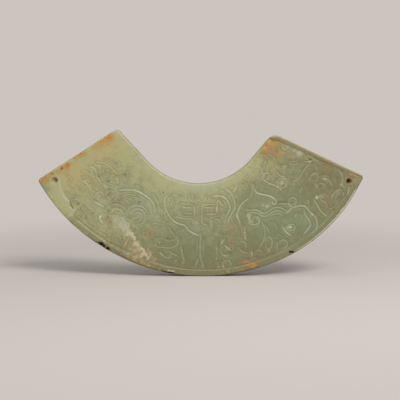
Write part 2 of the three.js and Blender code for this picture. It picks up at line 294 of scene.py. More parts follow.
# The carved strokes, as pixels of the photograph, each a smooth run of points
strokes = {
    # Strong raised threads: the big curves that frame the mask and the two dragons
    "bold": [
        # mask, left side down to the chin
        [(166.5, 194.4), (164.1, 200), (164, 204), (165, 209), (167.1, 213.4), (169.4, 217), (171.7, 220),
         (175.3, 222.5), (178.5, 223.9), (183.5, 225.2), (186.3, 228.5), (188, 230.5), (190.8, 232.2),
         (194.4, 234.3), (198.5, 235.5)],
        # mask, right side, outer and inner line
        [(210, 187.7), (217.3, 186.8), (224.1, 188.6), (227.8, 191.1), (230.5, 193.9), (232.3, 197.5),
         (233.7, 201), (234.4, 205.8), (233.7, 209.3), (231.4, 213.4), (230, 216.1), (228.2, 219.6),
         (227.6, 223.4), (226.8, 226.8)],
        [(211.5, 197.2), (214, 196.2), (217.5, 195.8), (221, 196.4), (224, 198), (226.6, 200.6),
         (228.5, 203.8), (229.3, 207.4), (228.4, 211), (226.8, 214.6), (225.2, 218)],
        [(216.6, 199.4), (218.4, 200.8), (220, 203), (221.6, 205.2), (223.6, 206.6)],
        [(192.4, 205.8), (193.6, 207.8), (193.9, 211), (193.5, 215.6)],
        [(208.4, 219.4), (210.4, 221.6), (211, 224.4), (210.2, 227.4)],
        [(216.6, 205.6), (216.4, 208.4), (216, 212)],
        # left dragon, arc over the spiral
        [(118.6, 190.6), (121, 190), (125, 189.8), (129.6, 189.8), (133.6, 190), (136.2, 191.1),
         (138.6, 192.1), (141.6, 193.8), (144.2, 195.4), (147, 197.3), (149.2, 199), (151, 201.4),
         (152.5, 204), (153.5, 207), (154, 210), (154.2, 213.6)],
        # right dragon, arc before the spiral
        [(248.5, 198), (246.2, 199.7), (241.6, 203.6), (238.3, 209.3), (236.2, 214.7), (236.7, 217),
         (238.6, 220.9), (239.3, 226)],
        # right dragon, brow that curls into a small ring
        [(253.7, 188.6), (255.6, 192.2), (259, 194.1), (263.7, 194.9), (268.3, 196), (272.1, 197.6),
         (275, 200), (275.3, 202.8), (273.4, 204.3), (271.6, 202.8), (272.2, 200.8)],
        # right dragon, big round body
        [(284.5, 213.8), (288.3, 211), (291.3, 208), (296.7, 206.2), (302.4, 205.8), (305.2, 207.2),
         (307.6, 209.8), (309.6, 212), (312, 214.4), (314.4, 216.6), (315.8, 219.2), (316.4, 222.4),
         (316.6, 226), (315.6, 229.2), (313.6, 231.8), (311.4, 234)],
        [(303.6, 210.6), (304.2, 213.6), (306, 216.6), (308, 219.4), (309.4, 222.4), (309.6, 225.4),
         (308, 228.2), (305.6, 231.2), (303.4, 234)],
        [(286.6, 202.8), (288.4, 204.2), (290, 206), (292, 207)],
        # tail at the right end
        [(313.4, 198.6), (314.4, 201.4), (316.2, 204.4), (318, 207.2), (319.8, 210.4), (322.2, 213.2),
         (324.6, 215), (327, 216.4)],
        [(314.8, 183.4), (316, 186), (316.4, 189)],
        # left dragon, crest at the upper left
        [(88.4, 166.6), (91.2, 167.2), (93.6, 168.6), (95, 170.6), (95.4, 173), (95.7, 175.4),
         (96.6, 177.6), (97.8, 179.6), (99.2, 181.4), (100.4, 183.6)],
        [(80.6, 180.6), (83, 181.2), (84.8, 182.6), (86.6, 184), (88.2, 185.8), (89.1, 187.8),
         (89.3, 190.4)],
        [(93, 201.4), (96, 203.2), (99, 204.6), (101.6, 206), (103.4, 207.4)],
        [(116.9, 178), (117.1, 180.6), (117, 183.4)],
        # leaf between mask and right dragon
        [(236.6, 179.6), (236.6, 183), (235.6, 186.4), (234, 189.6), (233.2, 192.4)],
        # feet and claws
        [(223.5, 239.5), (221.9, 241.6), (220.7, 244.2)],
        [(251.1, 251), (251.4, 253.6), (251.9, 256.2)],
        [(98.9, 215.6), (99.4, 219.4), (100.6, 221.6), (102.4, 223.2)],
        [(224, 245.4), (226.4, 247.4), (229.4, 249.4)],
        [(159, 251.8), (160.8, 254.2), (163, 255.8)],
    ],
    # Ordinary raised threads
    "plain": [
        [(104.6, 179), (106.4, 176), (108, 173)], [(109, 180), (110.6, 177), (112, 174.6)],
        [(114, 181), (115.4, 178), (116.6, 175.6)], [(121.6, 176), (124, 179.6), (126, 182)],
        [(99, 174.6), (101.4, 177.8), (103.6, 181.6)],
        # upper margin that runs into the mask's left curl
        [(132.4, 157.4), (141.5, 163.8), (149, 169.4), (155, 174.2), (161.5, 178.6), (165.9, 181.4),
         (170.4, 183.6), (175, 185.2), (180, 186.4), (185, 187.4), (189, 188.1), (192.1, 189.2),
         (194.4, 190.8), (196, 192.8), (196.6, 195), (196.1, 197.4), (194.4, 198.4)],
        [(188.5, 190.2), (187.8, 194.7), (188.7, 198), (190.8, 200.7), (193.4, 202.2), (197, 203.6)],
        # mask's right curl
        [(197.6, 198), (199.4, 200.9), (201.8, 201.6), (204.1, 200.4), (205.4, 197.8), (204.8, 195.4)],
        # left eye box
        [(179, 203), (182, 203.8), (186, 204.4), (189.6, 204.6), (192, 205.6)],
        [(182.6, 213.4), (186, 213.5), (192, 213.6)],
        [(174.4, 215.8), (179, 218), (185, 218.7), (190.6, 219), (193, 221.4), (191.4, 224.4)],
        [(171.6, 193.2), (174.2, 191.7), (177, 191.7), (179.4, 192.6), (181.2, 195.6)],
        [(169.2, 196.4), (171.8, 198.4), (172.6, 201.6), (170.2, 203.6), (171.6, 207)],
        # nose
        [(216, 204.4), (209, 204.8), (203.4, 205), (201.7, 207.4), (201.5, 214), (201.3, 219),
         (201.5, 222.4), (203.4, 224.4), (207.4, 225)],
        [(204.4, 220.6), (206, 219.4), (208.4, 219.4)],
        # right eye box
        [(216.8, 199.8), (216.6, 203), (216.5, 206)],
        [(203.8, 214.4), (208, 214.4), (212.1, 214.4), (216.4, 214.2)],
        [(213.2, 219.8), (216.2, 219.2), (219, 220.6), (219.6, 223.6)],
        [(229.4, 217.6), (231.6, 220.4), (232.6, 223)],
        [(233.5, 224.5), (236.5, 226.5)],
        # beard columns below the mask
        [(200.2, 233), (199.8, 240), (199.6, 248), (199.8, 256), (200.8, 260.4), (203.4, 266.6)],
        [(197.6, 258.6), (196.4, 262.4), (194.2, 266.6)],
        # left dragon's spiral
        [(126.5, 216.4), (126.9, 211.6), (129.9, 207.6), (134.7, 205.9), (139.9, 206.1), (144.3, 208.8),
         (147.1, 213.4)],
        [(129.7, 217), (130.5, 212.6), (133.7, 209.6), (138.1, 209), (141.9, 210.6), (144.5, 214.4),
         (144.7, 219.4), (142.3, 223), (138.7, 225)],
        [(134.5, 216), (135.9, 213.4), (138.7, 213), (140.7, 215.2), (140.3, 218.8), (137.7, 221.4),
         (134.7, 221.6)],
        [(135.4, 223.2), (138, 225), (140.4, 226.2), (142.6, 227)],
        # lines that hang from the arc over the spiral
        [(151, 193.4), (154.6, 198), (157.4, 203.4), (158.6, 208.6), (158.8, 214)],
        [(160.4, 208.4), (161.2, 212), (161.8, 216.4)],
        # left dragon's jaw
        [(111, 213.6), (111.2, 210.8), (112.6, 208.6), (115, 208.4), (117.4, 209.2), (119.4, 210.2),
         (121.2, 211.6), (122.6, 213.4), (124.6, 214.4), (127, 214.2)],
        [(110.4, 204.7), (114.4, 204.1), (118.6, 205.1), (122.8, 207.6), (125.6, 211.6)],
        # left dragon's crest and ear
        [(95, 161.6), (98.4, 162.4), (102.4, 163), (105.6, 164.2), (108.4, 165.8), (110.6, 167.6),
         (112.2, 169.6), (114.2, 171.2), (115.6, 173.2), (116.4, 175.6)],
        [(81, 171.6), (83.5, 171), (85.6, 171.6), (86.8, 173.2), (87.1, 175.6)],
        [(94.6, 197.6), (95, 195), (97, 192.6), (99.6, 192), (101.6, 193.2), (102.8, 195.4), (103, 197.8)],
        [(105.8, 195.4), (107.4, 191.6), (110.8, 190.6), (113, 193.2), (111.8, 196.8), (108.6, 198)],
        [(121.6, 175.4), (123.2, 177), (124.6, 178.8), (125.4, 181)],
        # left dragon, leaf and claw under the spiral
        [(153.3, 242.8), (156, 246.4), (160.4, 247), (165, 247.7), (170.4, 247.8), (174.6, 246.3),
         (177.2, 242.8), (177.4, 238)],
        [(159.2, 251.3), (162.1, 255), (166, 257.6), (169.6, 257.4), (170.4, 255), (168, 254)],
        [(166.9, 250.7), (170.4, 252.6), (174, 254.6), (178.3, 256.6)],
        [(179.6, 246.6), (181.3, 251.2), (182, 256.4), (183.4, 260.4), (182, 264.6)],
        [(167.2, 226.4), (169.4, 229.8), (171.7, 233), (174.4, 235.2)],
        [(164, 210), (164.6, 215.6), (166.4, 221)],
        [(112.6, 233.6), (115.4, 234.8), (118, 236.2), (119.6, 238.4), (119.4, 241.8)],
        # right dragon's spiral
        [(246, 217.4), (246.8, 214.6), (249.6, 212.6), (253.4, 212.6), (257, 213.8)],
        [(248.6, 216.6), (247.7, 219.6), (248.5, 222.8), (250.8, 224.6), (254, 224.9), (257.2, 223.6),
         (259, 220.8), (258.4, 218.2), (255.4, 216.8), (252.6, 217.9), (252, 220.7), (253.9, 222.5)],
        # waves along the back
        [(244.8, 208.6), (247.6, 210), (251, 210.4), (254.6, 209.8), (258.2, 210.9), (261.5, 213),
         (265, 213), (268.5, 210.8), (272.1, 208.5), (276, 207.3), (279.8, 207.7), (283.7, 209.6),
         (286.6, 211.4)],
        [(249, 213.4), (253.7, 212.5), (258.2, 214), (262.1, 216.1), (265.3, 216.2), (269.3, 213.9),
         (273, 211.6), (277.3, 210.9), (281.4, 211.9), (284.4, 213.8)],
        [(268.6, 217), (271.4, 215), (275, 213.8), (279.5, 213.9), (282.6, 216.6)],
        # haunch lines
        [(261.2, 222), (263.3, 226), (264.4, 231), (264.2, 236.5), (262.4, 241.2), (259.4, 247.4)],
        [(264.6, 224.6), (267, 229), (268.8, 234)],
        # eye of the right dragon
        [(285.2, 226.4), (286.6, 229.2), (289.6, 230.5), (293, 229.7), (294.6, 227), (293, 224.6),
         (289.8, 224.6), (287.6, 226.2)],
        [(281, 224.4), (282.4, 228.8), (285.2, 232.2), (289, 234.3), (291.4, 235.6)],
        [(296.6, 213), (295, 215.6), (293.2, 218.4)],
        # ring and its tail
        [(288.6, 202.4), (289, 199.4), (291.8, 197.6), (294.8, 198.8), (295.6, 201.8), (293.6, 204.4),
         (290.6, 204.4)],
        [(278.3, 203.9), (283, 203.7), (287.2, 203.9)],
        # curls along the upper edge
        [(261.2, 166.6), (260.9, 169.6), (261.8, 173), (261.3, 176), (262, 178.4), (264, 180.8),
         (267, 182.6), (270.6, 184.2), (274, 185.4), (277, 186.5), (279, 188.5), (281, 189.5)],
        [(263.6, 178.4), (262.9, 175.4), (264.6, 173), (267.6, 173.4), (268.6, 176.2), (266.8, 178.8),
         (264.6, 178.6)],
        [(277.4, 186.2), (276.8, 182.4), (278.6, 179.2), (282.2, 178.3), (285.4, 180.2), (286.2, 183.8),
         (284.2, 187), (281, 187.6), (279, 185.4)],
        [(276.9, 171.6), (278.4, 174.8), (281.6, 176.6), (285, 176.4)],
        [(265, 160.4), (264.6, 163), (263.8, 165)],
        [(265.2, 153.2), (269, 154.9), (272.6, 157.8), (274.6, 160.8), (276.5, 163.5)],
        [(281.6, 143.6), (281.4, 147), (283.6, 149.7), (286.2, 148.6), (286.2, 145.4), (284, 143.4)],
        [(310, 163), (306.7, 166.4), (302.9, 171), (300.4, 175.2), (298, 178.4), (295.2, 180.9),
         (291, 181.3)],
        [(252.7, 183.4), (251.6, 189), (250.8, 194), (249.2, 198.4)],
        [(301.2, 186.2), (300.8, 188.8), (300, 191.4), (300.2, 194)],
        [(303.4, 161.8), (307, 161.8), (311.4, 162)],
        # right end: curl, horns and the margin round the hole
        [(309.8, 179.4), (310.6, 175.6), (313.4, 173.4), (316.4, 174.2), (317.6, 177.4), (316, 180.4),
         (313, 180.8)],
        [(320, 179.2), (324, 178.5), (328.2, 180.6), (330.9, 184), (331.6, 187.8)],
        [(318.2, 183.6), (321, 183.4), (323.8, 184.8), (325.6, 187)],
        [(312.6, 164.4), (315, 166.4), (316.4, 169.2), (317, 172)],
        [(331, 198.5), (331.6, 195.6), (333.2, 193.4), (336, 190.8), (338.6, 189.6), (341.6, 190.8)],
        [(334.6, 199.6), (336, 195.6), (338.6, 193.6), (340.8, 195)],
        [(318.7, 161.3), (323, 162.8), (328, 164.6), (332.4, 166), (337.2, 169), (340.6, 172.6),
         (342, 177), (341.2, 182), (342, 186), (345.4, 187.8)],
        [(348.5, 186.5), (348.2, 190.5), (347, 194)],
        [(319.4, 200.2), (322.6, 201.4), (325.2, 203.2), (326.4, 206.4), (326.2, 209)],
        [(327.8, 208.2), (330.6, 208.6), (333.4, 207.6)],
        [(305.8, 200), (307.6, 200.4), (307.8, 203), (308.6, 206)],
        # lower right: small curls and claws
        [(264.7, 242.8), (265.2, 239), (268.1, 236.9), (271, 238.8), (271.7, 243), (270.4, 247.6),
         (267.4, 248.8), (265.2, 246.4)],
        [(276.8, 241), (276.4, 245), (277, 250)],
        [(279, 244), (280, 241), (283, 239.9), (286, 241.8), (286.4, 245.2), (284, 247.8), (280.8, 247.2)],
        [(254.6, 252.6), (257.2, 250.4), (260.2, 250.6), (262, 252.6)],
        [(243.7, 226), (244.4, 231), (245, 235.4), (244.9, 240)],
        [(239.4, 241.6), (243, 242), (245.4, 244.6), (245.6, 248)],
        [(238.3, 247.6), (240.2, 251), (243.6, 252.7), (247, 252.6)],
        [(220.2, 248.4), (220.4, 252.2), (222.6, 255.2), (225.8, 256), (228, 254.4)],
        [(222.3, 266.8), (222.5, 263), (224.8, 260.9), (228, 260.8), (230, 263), (229.8, 266)],
        [(216.5, 261.4), (217.4, 264.4), (218.7, 267.4)],
        [(312, 158.8), (320, 161.8), (328, 165.2), (336, 169), (340, 173), (342.4, 179), (341.8, 184),
         (343.6, 187.4)],
        # margin lines along the lower edge
        [(76.4, 219.8), (79, 222.6), (81.8, 225), (85, 227.2), (88, 229.6), (91, 232.2), (94.6, 234.2),
         (97.6, 236.6), (100.8, 238.6), (103.6, 240.8), (108, 243.6), (114, 246)],
        [(80.6, 216.6), (83.4, 220.6), (86.4, 224), (89.8, 226.4), (93.6, 228.8), (97.6, 231.6),
         (102, 234), (106, 237)],
    ],
    # Shallow threads and worn ends
    "fine": [
        # left dragon, mask and beard
        [(120.6, 196.6), (126, 194.6), (131.6, 194.6), (137, 196.6)],
        [(196.6, 237), (196.4, 244), (196.6, 252)], [(202.6, 238), (202.6, 246), (202.8, 253)],
        [(117.4, 201.2), (120.6, 201.6), (123.2, 203.2), (125.6, 205.4)],
        [(121.4, 199.2), (124.6, 200), (127, 202), (128.6, 204.6)],
        [(126.6, 197.6), (129.6, 199.6), (131.6, 202.6)],
        [(131, 198.4), (133, 200.8), (134, 203.6)],
        [(134.6, 185), (137.4, 186.2), (139.4, 188), (140.6, 190.4)],
        [(153, 197.8), (155.4, 201.6), (157, 205.6)],
        [(151.6, 226.8), (154.6, 227.2), (157.4, 227.4), (159.6, 226.4)],
        [(150.6, 223.8), (154, 223.2), (157.6, 223.6), (160, 224.6)],
        [(152.6, 241.6), (156, 239), (160.8, 238.4), (165, 240.4), (170, 240.9), (174.6, 239.6),
         (177.6, 236.6)],
        [(162, 219.6), (162, 223)], [(163.8, 219.8), (163.8, 223)],
        [(173.6, 261.2), (175.8, 259.9), (177.2, 262.6)],
        [(180.6, 228.6), (184.4, 232.4), (188.4, 236)],
        [(183.2, 204.6), (183.2, 209.6)],
        [(216.4, 246), (216.2, 251), (216.3, 257)],
        [(221.5, 234), (220.6, 238)],
        [(220.9, 261.8), (221.8, 265.5), (224, 267.6)],
        # right dragon and right end
        [(279.6, 166), (284, 166.2), (287.6, 165.4)],
        [(288, 161.6), (292, 161.6), (297, 161.8)],
        [(303, 163.6), (299, 165.4), (296, 168.6)],
        [(306, 155.9), (312.9, 158.3), (320.6, 162)],
        [(286.6, 168), (290, 170.8), (291, 175)],
        [(262, 183), (266, 184.6), (270, 185.4)],
        [(243, 174.6), (245.4, 176.8), (248, 174.4), (250.6, 171.6)],
        [(241.6, 181), (246, 184), (247.6, 189)],
        [(322, 193), (326, 195.6), (328.4, 200)],
        [(320, 176), (324, 175.8), (328.4, 176.4)],
        [(342.6, 171.8), (345, 173.6), (345.6, 176), (345, 179), (345, 184), (347, 186.4)],
        [(302, 214), (301, 218), (298.4, 221.4)],
        [(297, 234), (300.4, 238)],
        [(272.6, 222), (275.4, 225.6), (276.4, 230.4)],
        # left dragon's mane and left end
        [(126.6, 222.6), (129.4, 227.4), (134, 230.4)],
        [(101.8, 174.6), (103.4, 177), (104.4, 179.6), (104.6, 182)],
        [(109.4, 176), (112, 178.6), (114.4, 181.4)],
        [(126, 171.5), (127, 174), (127.2, 176.5), (127, 179), (125, 181.5), (122.5, 182.5)],
        [(119, 162.5), (119, 166.5)],
        [(103.6, 159.4), (108.6, 160.6), (113.6, 163.6), (117.6, 167)],
        [(108.4, 176.6), (111.6, 175.4), (115, 177)], [(101.4, 168.6), (103, 172), (104, 175)],
        [(105.6, 168.4), (107.6, 170), (109.4, 172.6)], [(106, 183), (109, 184.6), (112.6, 185)],
        [(81.6, 176.6), (84.6, 178.8)], [(85.4, 175.4), (88.2, 177.8)], [(88.6, 177.6), (90.8, 180.8)],
        [(91.6, 182), (93.4, 185.4), (93.6, 189)],
        [(66.2, 175.6), (69.2, 177), (70.6, 179.8), (69.8, 182.6)],
        [(67.6, 192.6), (70.4, 195), (73.4, 197)], [(70.6, 200.4), (73.4, 202), (75.8, 204.2)],
        [(79.6, 210), (82, 213.6), (84.2, 217.4)], [(97.6, 186.6), (100.6, 188), (103, 190.4)],
        [(64.6, 192.4), (66.4, 194), (68.6, 196), (70.4, 197.8)],
        [(66, 196.4), (67.6, 198), (69.4, 199.6)],
        [(75.4, 185.4), (77, 187.4), (79.2, 190)],
        [(68.2, 179.4), (67.4, 181.6), (67.8, 184), (69.2, 186)],
        [(70.6, 187.6), (73, 191.4), (74.4, 196)],
        [(105.6, 197.6), (108, 198.2), (110.4, 199.6), (112.8, 201)],
        [(88.6, 192.6), (90.6, 194.4), (92.6, 196.6), (94, 198.8)],
        [(82, 205.6), (86, 210), (91, 213.6)],
        [(108.8, 224), (108.8, 228)],
        [(145.6, 221), (148, 222.6)],
        # below the right dragon
        [(338.6, 199), (336, 204.4), (332, 209.6)],
        [(238, 229.6), (238.6, 235), (236.6, 239.6)],
        [(274.6, 236), (278, 234.6), (281.6, 236)],
        [(245.4, 259.6), (250.6, 259.4), (255.4, 257.6)],
        # margins along the saw step and the lower edge
        [(308, 155.4), (313.6, 158.4), (319, 161.4)],
        [(110, 244.4), (115, 246.6), (124, 250.6), (134, 254.8)],
        [(150, 261.4), (160.6, 264.7), (166, 266.3), (173, 267.8), (181, 269.2), (190, 270), (200, 270.2),
         (210, 270.1), (223, 269.5), (236, 267.4), (250, 263.6), (263, 259), (276, 253.8), (288, 247.6),
         (300, 240), (316.5, 228.6), (328, 216.6), (340, 203.2), (348.6, 192.6)],
        [(354, 194), (346, 204.6), (337.5, 215), (330, 223.4), (322.5, 231), (316.5, 236)],
    ],
    # Cuts below the ground
    "groove": [
        [(182, 215.3), (187, 215.7), (192.2, 215.8)],
        [(181.8, 212.4), (181.5, 209.4), (181.7, 206)], [(182, 205.9), (187, 206.2), (191.2, 206.8)],
        [(208.2, 206.6), (208, 210), (208.2, 212.4), (211.6, 212.7), (215.2, 212.6)],
        [(277.1, 201.9), (282, 201.6), (287.4, 201.8)],
        [(204, 206.4), (209.6, 206.2), (215, 205.8)],
        [(203.4, 216.6), (208.4, 216.9), (213, 216.6)],
        [(192.6, 194.4), (193.4, 197.4)],
        [(306.9, 158.4), (309.6, 159.2), (312.4, 160)],
        [(289, 163.2), (293, 163.3), (297, 163.2)],
        [(157.6, 242.6), (163, 244), (169, 244.4), (174, 242.6)],
        [(284.6, 237.8), (288.6, 240)],
        [(226.6, 251), (230.4, 251.6)],
        [(69.5, 202), (70.5, 205), (72.5, 208)],
    ],
}
threads = {
    # half width and height at the crest of each kind
    "bold": (0.29 * mm, 1.0), "plain": (0.25 * mm, 0.75), "fine": (0.21 * mm, 0.55),
    "core": 0.1, "foot": 1.9,       # shares of the half width between which a thread falls to the ground
    "step": 0.12 * mm,              # spacing of the points along a stroke
    "samples": 40,                  # for each control point, before the points are spaced evenly
    "taper": 1.3 * mm,              # a thread dies out over this length at both ends
    "endHeight": 0.35,              # share of the height left at the very end
}
# Oval of the right dragon's horn, which holds a fine lattice, in pixels
horn = {
    "centre": (310.2, 187.8), "halfWidth": 3.2, "halfHeight": 5.6,
    "pitch": 2.1, "slope": 1.0,
    "samples": 25,                  # tried along a line, which needs more than the fewest inside the oval
    "fewest": 3,
}


def crosshatch():
    wide, high = horn["halfWidth"], horn["halfHeight"]
    lines = []
    for lean in (-horn["slope"], horn["slope"]):
        for offset in np.arange(-wide - high, wide + high, horn["pitch"]):
            run = np.linspace(-wide, wide, horn["samples"])
            rise = offset + lean * run
            inside = (run / wide) ** 2 + (rise / high) ** 2 < 1
            if inside.sum() > horn["fewest"]:
                ends = np.flatnonzero(inside)[[0, -1]]
                lines.append([(horn["centre"][0] + run[i], horn["centre"][1] + rise[i]) for i in ends])
    return lines


def strokeObject(name, runs):  # smooth polylines with a height share at every point
    places, shares, edges = [], [], []
    for run in runs:
        control = np.array([spot(*point) for point in run])
        shareAlong = np.linspace(0, 1, threads["samples"] * len(control))
        curve = np.stack([splineValue(control[:, axis], shareAlong) for axis in (0, 1)], -1)
        length = runLength(curve)
        count = max(2, int(length / threads["step"]))
        points = alongSide(curve, np.linspace(0, 1, count + 1))
        fromEnd = np.minimum(np.arange(count + 1), np.arange(count, -1, -1)) * length / count
        fade = np.clip(fromEnd / min(threads["taper"], length / 2), 0, 1)
        first = len(places)
        places.extend(points)
        shares.extend(threads["endHeight"] + (1 - threads["endHeight"]) * fade * (2 - fade))
        edges.extend((first + i, first + i + 1) for i in range(count))
    mesh = bpy.data.meshes.new(name)
    mesh.from_pydata([(x, 0, z) for x, z in places], edges, [])
    setAttribute(mesh, "share", shares)
    return addObject(name, mesh)


def sideObject(name, points):
    mesh = bpy.data.meshes.new(name)
    count = len(points)
    mesh.from_pydata([(x, 0, z) for x, z in points], [(i, i + 1) for i in range(count - 1)], [])
    return addObject(name, mesh)


# Hollows, chips and swellings of the face
dents = {
    # pixel x, pixel y, radius in pixels, depth in mm
    "spots": [
        (101.5, 243.6, 2.4, 0.35), (107.6, 247.6, 2.2, 0.35), (161, 270.4, 2, 0.25),
        (169.6, 272, 3, 0.35), (290.5, 251.6, 1.7, 0.3), (78, 228.6, 2.6, 0.2), (88, 236, 3, 0.2),
        (310, 159.4, 2.6, 0.18), (131, 234, 4.5, 0.12), (121, 224, 6, 0.1), (143, 249, 6, 0.08),
        (263, 145, 4, 0.2), (270, 139.4, 3, 0.25), (98, 142, 3, 0.12), (61.6, 168, 2.2, 0.15),
        (66.6, 164.4, 2, 0.05), (229, 224, 3, 0.1), (231, 241, 3.6, 0.1), (283, 184, 1.6, -0.14),
        (289.6, 227.6, 2.2, -0.2), (253.9, 222, 1.6, -0.1), (184, 208.6, 4, -0.1), (299, 222, 9, -0.16),
        (138.6, 217, 3, -0.08), (72, 200, 8, 0.08), (245, 205, 4, -0.06), (260, 204, 6, -0.06),
        (225, 205, 3, -0.05), (98, 172, 5, -0.06),
    ],
    "pitSpread": 1.3, "pitDepth": 0.07,     # of a soil pit, from the radius and the strength of its colour
}

# Relief that the geometry nodes cut into the working grid
relief = {
    "edgeRound": 0.55 * mm,
    "groundDepth": 0.08 * mm,       # general sinking inside the margins
    "bedDepth": 0.15 * mm,          # extra depth beside the threads
    "bedWidth": 1.1 * mm,
    "outerMargin": 1.9 * mm, "innerMargin": 1.6 * mm, "leftMargin": 1.3 * mm, "rightMargin": 1.5 * mm,
    "outerSlope": 0.5 * mm, "innerSlope": 3.5 * mm, "leftSlope": 2.5 * mm, "rightSlope": 0.6 * mm,
    "ledgeDepth": 1.1 * mm,
    "waveSize": 9 * mm, "waveHeight": 0.12 * mm, "waveSeed": 3.0,       # hand polish
    "pitSize": 1.6 * mm, "pitHeight": 0.035 * mm, "pitSeed": 7.0, "noiseDetail": 2.0,
    "calmWidth": 2 * mm,            # unevenness fades out towards the edges over this width
    "polishLoss": 0.06 * mm,        # what polishing took off both faces
    "grooveDepth": 0.13 * mm, "grooveHalf": 0.24 * mm,
    "hatchDepth": 0.09 * mm, "hatchHalf": 0.16 * mm,
}
# The side of the outline that each margin is measured from
lineSides = {"outer": "lower", "inner": "upper", "left": "left", "right": "right"}
# Polished strip that stays proud at the lower left, as an outline in pixels
strip = {
    "outline": [
        (36, 176), (47, 172), (53, 173), (56, 175.5), (57.5, 178), (58.6, 182), (59.2, 186), (60.3, 190),
        (62.2, 194), (64.6, 197.6), (67.4, 200.4), (69, 204), (69.6, 207.6), (73.6, 209.2), (72.6, 212),
        (70.8, 214.4), (67, 216.2), (62, 220), (50, 208), (38, 190),
    ],
    "soft": 0.35 * mm,              # how soft its edge is
}


def reliefTree(lines):
    tree = bpy.data.node_groups.new("cutRelief", "GeometryNodeTree")

    def addSocket(name, kind, direction="INPUT"):
        tree.interface.new_socket(name, in_out=direction, socket_type="NodeSocket" + kind)

    addSocket("Geometry", "Geometry", "OUTPUT")
    addSocket("Geometry", "Geometry")
    for name in ("thickness", *relief):
        addSocket(name, "Float")
    for name in lines:
        addSocket(name, "Object")
    addSocket("finish", "Material")
    _, place, calc, ramp = treeTools(tree)
    plus, minus, times, least, most = chains(calc, "ADD", "SUBTRACT", "MULTIPLY", "MINIMUM", "MAXIMUM")
    given = place("NodeGroupInput").outputs
    here = place("ShaderNodeSeparateXYZ", {0: place("GeometryNodeInputPosition").outputs[0]}).outputs
    flat = place("ShaderNodeCombineXYZ", {0: here[0], 2: here[2]}).outputs[0]

    def stored(name):
        return place("GeometryNodeInputNamedAttribute", {"Name": name}, data_type="FLOAT").outputs[0]

    def lineGeometry(name):
        return place("GeometryNodeObjectInfo", {"Object": given[name]}).outputs["Geometry"]

    def distanceTo(geometry):
        inputs = {"Geometry": geometry, "Sample Position": flat}
        return place("GeometryNodeProximity", inputs, target_element="EDGES").outputs["Distance"]

    def shareAt(geometry):  # height share of a stroke at its nearest point
        inputs = {"Geometry": geometry, "Sample Position": flat}
        nearest = place("GeometryNodeSampleNearest", inputs, domain="POINT").outputs[0]
        inputs = {"Geometry": geometry, "Value": stored("share"), "Index": nearest}
        return place("GeometryNodeSampleIndex", inputs, data_type="FLOAT", domain="POINT").outputs[0]

    # Rounded edge: the height lost within the rounding radius
    sideDistance = {name: distanceTo(lineGeometry(name)) for name in lineSides}
    edge = least(*sideDistance.values())
    short = most(minus(given["edgeRound"], edge), 0.0)
    root = minus(times(given["edgeRound"], given["edgeRound"]), times(short, short))
    drop = minus(given["edgeRound"], calc("SQRT", most(root, 0.0)))

    # Ground inside the margins, left proud under the polished strip
    ground = 1.0
    for name, distance in sideDistance.items():
        margin = given[name + "Margin"]
        ground = times(ground, ramp(distance, margin, plus(margin, given[name + "Slope"])))
    ground = times(ground, minus(1.0, stored("strip")))

    # Raised threads are what is left of the first surface
    crest, nearestThread = 0.0, 1.0
    for name in ("bold", "plain", "fine"):
        geometry = lineGeometry(name)
        distance = distanceTo(geometry)
        half, height = threads[name]
        body = ramp(distance, threads["core"] * half, threads["foot"] * half, 1.0, 0.0)
        crest = most(crest, times(body, times(shareAt(geometry), height)))
        nearestThread = least(nearestThread, distance)
    bed = ramp(nearestThread, 0.0, given["bedWidth"], 1.0, 0.0)
    sunk = times(plus(given["groundDepth"], times(given["bedDepth"], bed)), ground, minus(1.0, crest))
    for name in ("groove", "hatch"):
        geometry = lineGeometry(name)
        cut = ramp(distanceTo(geometry), 0.0, given[name + "Half"], 1.0, 0.0)
        sunk = plus(sunk, times(cut, shareAt(geometry), given[name + "Depth"]))

    def unevenness(kind):
        scale = calc("DIVIDE", 1.0, given[kind + "Size"])
        inputs = {"Vector": flat, "W": given[kind + "Seed"], "Scale": scale, "Detail": given["noiseDetail"]}
        noise = place("ShaderNodeTexNoise", inputs, noise_dimensions="4D").outputs[0]
        return times(minus(noise, 0.5), given[kind + "Height"])

    # What the two faces lose, the carved one with the saw step along the right end
    calm = ramp(edge, 0.0, given["calmWidth"])
    wave, pits = times(unevenness("wave"), calm), unevenness("pit")
    rough = plus(stored("dent"), pits, plus(wave, given["polishLoss"]))
    frontLoss = plus(plus(drop, sunk), rough, times(stored("ledge"), given["ledgeDepth"]))
    unevenBack = plus(wave, pits, plus(stored("saw"), given["polishLoss"]))
    backLoss = plus(drop, times(unevenBack, calm))

    # The wall spans from face to back
    layer = stored("layer")
    half = times(given["thickness"], 0.5)
    frontY, backY = minus(frontLoss, half), minus(half, backLoss)
    depthY = plus(frontY, times(minus(backY, frontY), times(plus(layer, 1.0), 0.5)))
    moved = place("ShaderNodeCombineXYZ", {0: here[0], 1: depthY, 2: here[2]}).outputs[0]
    shaped = place("GeometryNodeSetPosition", {"Geometry": given["Geometry"], "Position": moved}).outputs[0]

    # What the finish needs to know
    isFront = calc("LESS_THAN", layer, -0.999)  # the carved face is layer -1
    # the finish paints the thread crests paler: in part for wear, in part as a painted highlight
    ridge = times(crest, ground, isFront)
    # hollow: the bed beside the threads, which the finish darkens as painted shade
    hollow = times(bed, minus(1.0, crest), ground, isFront)
    for name, value in (("ridge", ridge), ("hollow", hollow), ("edge", edge)):
        inputs = {"Geometry": shaped, "Name": name, "Value": value}
        store = place("GeometryNodeStoreNamedAttribute", inputs, data_type="FLOAT", domain="POINT")
        shaped = store.outputs[0]
    real = place("GeometryNodeRealizeInstances", {0: shaped}).outputs[0]
    done = place("GeometryNodeSetMaterial", {"Geometry": real, "Material": given["finish"]}).outputs[0]
    tree.links.new(done, place("NodeGroupOutput").inputs[0])
    return tree


def farFrom(points, x, z):
    return np.hypot(points[:, 0] - x, points[:, 2] - z)


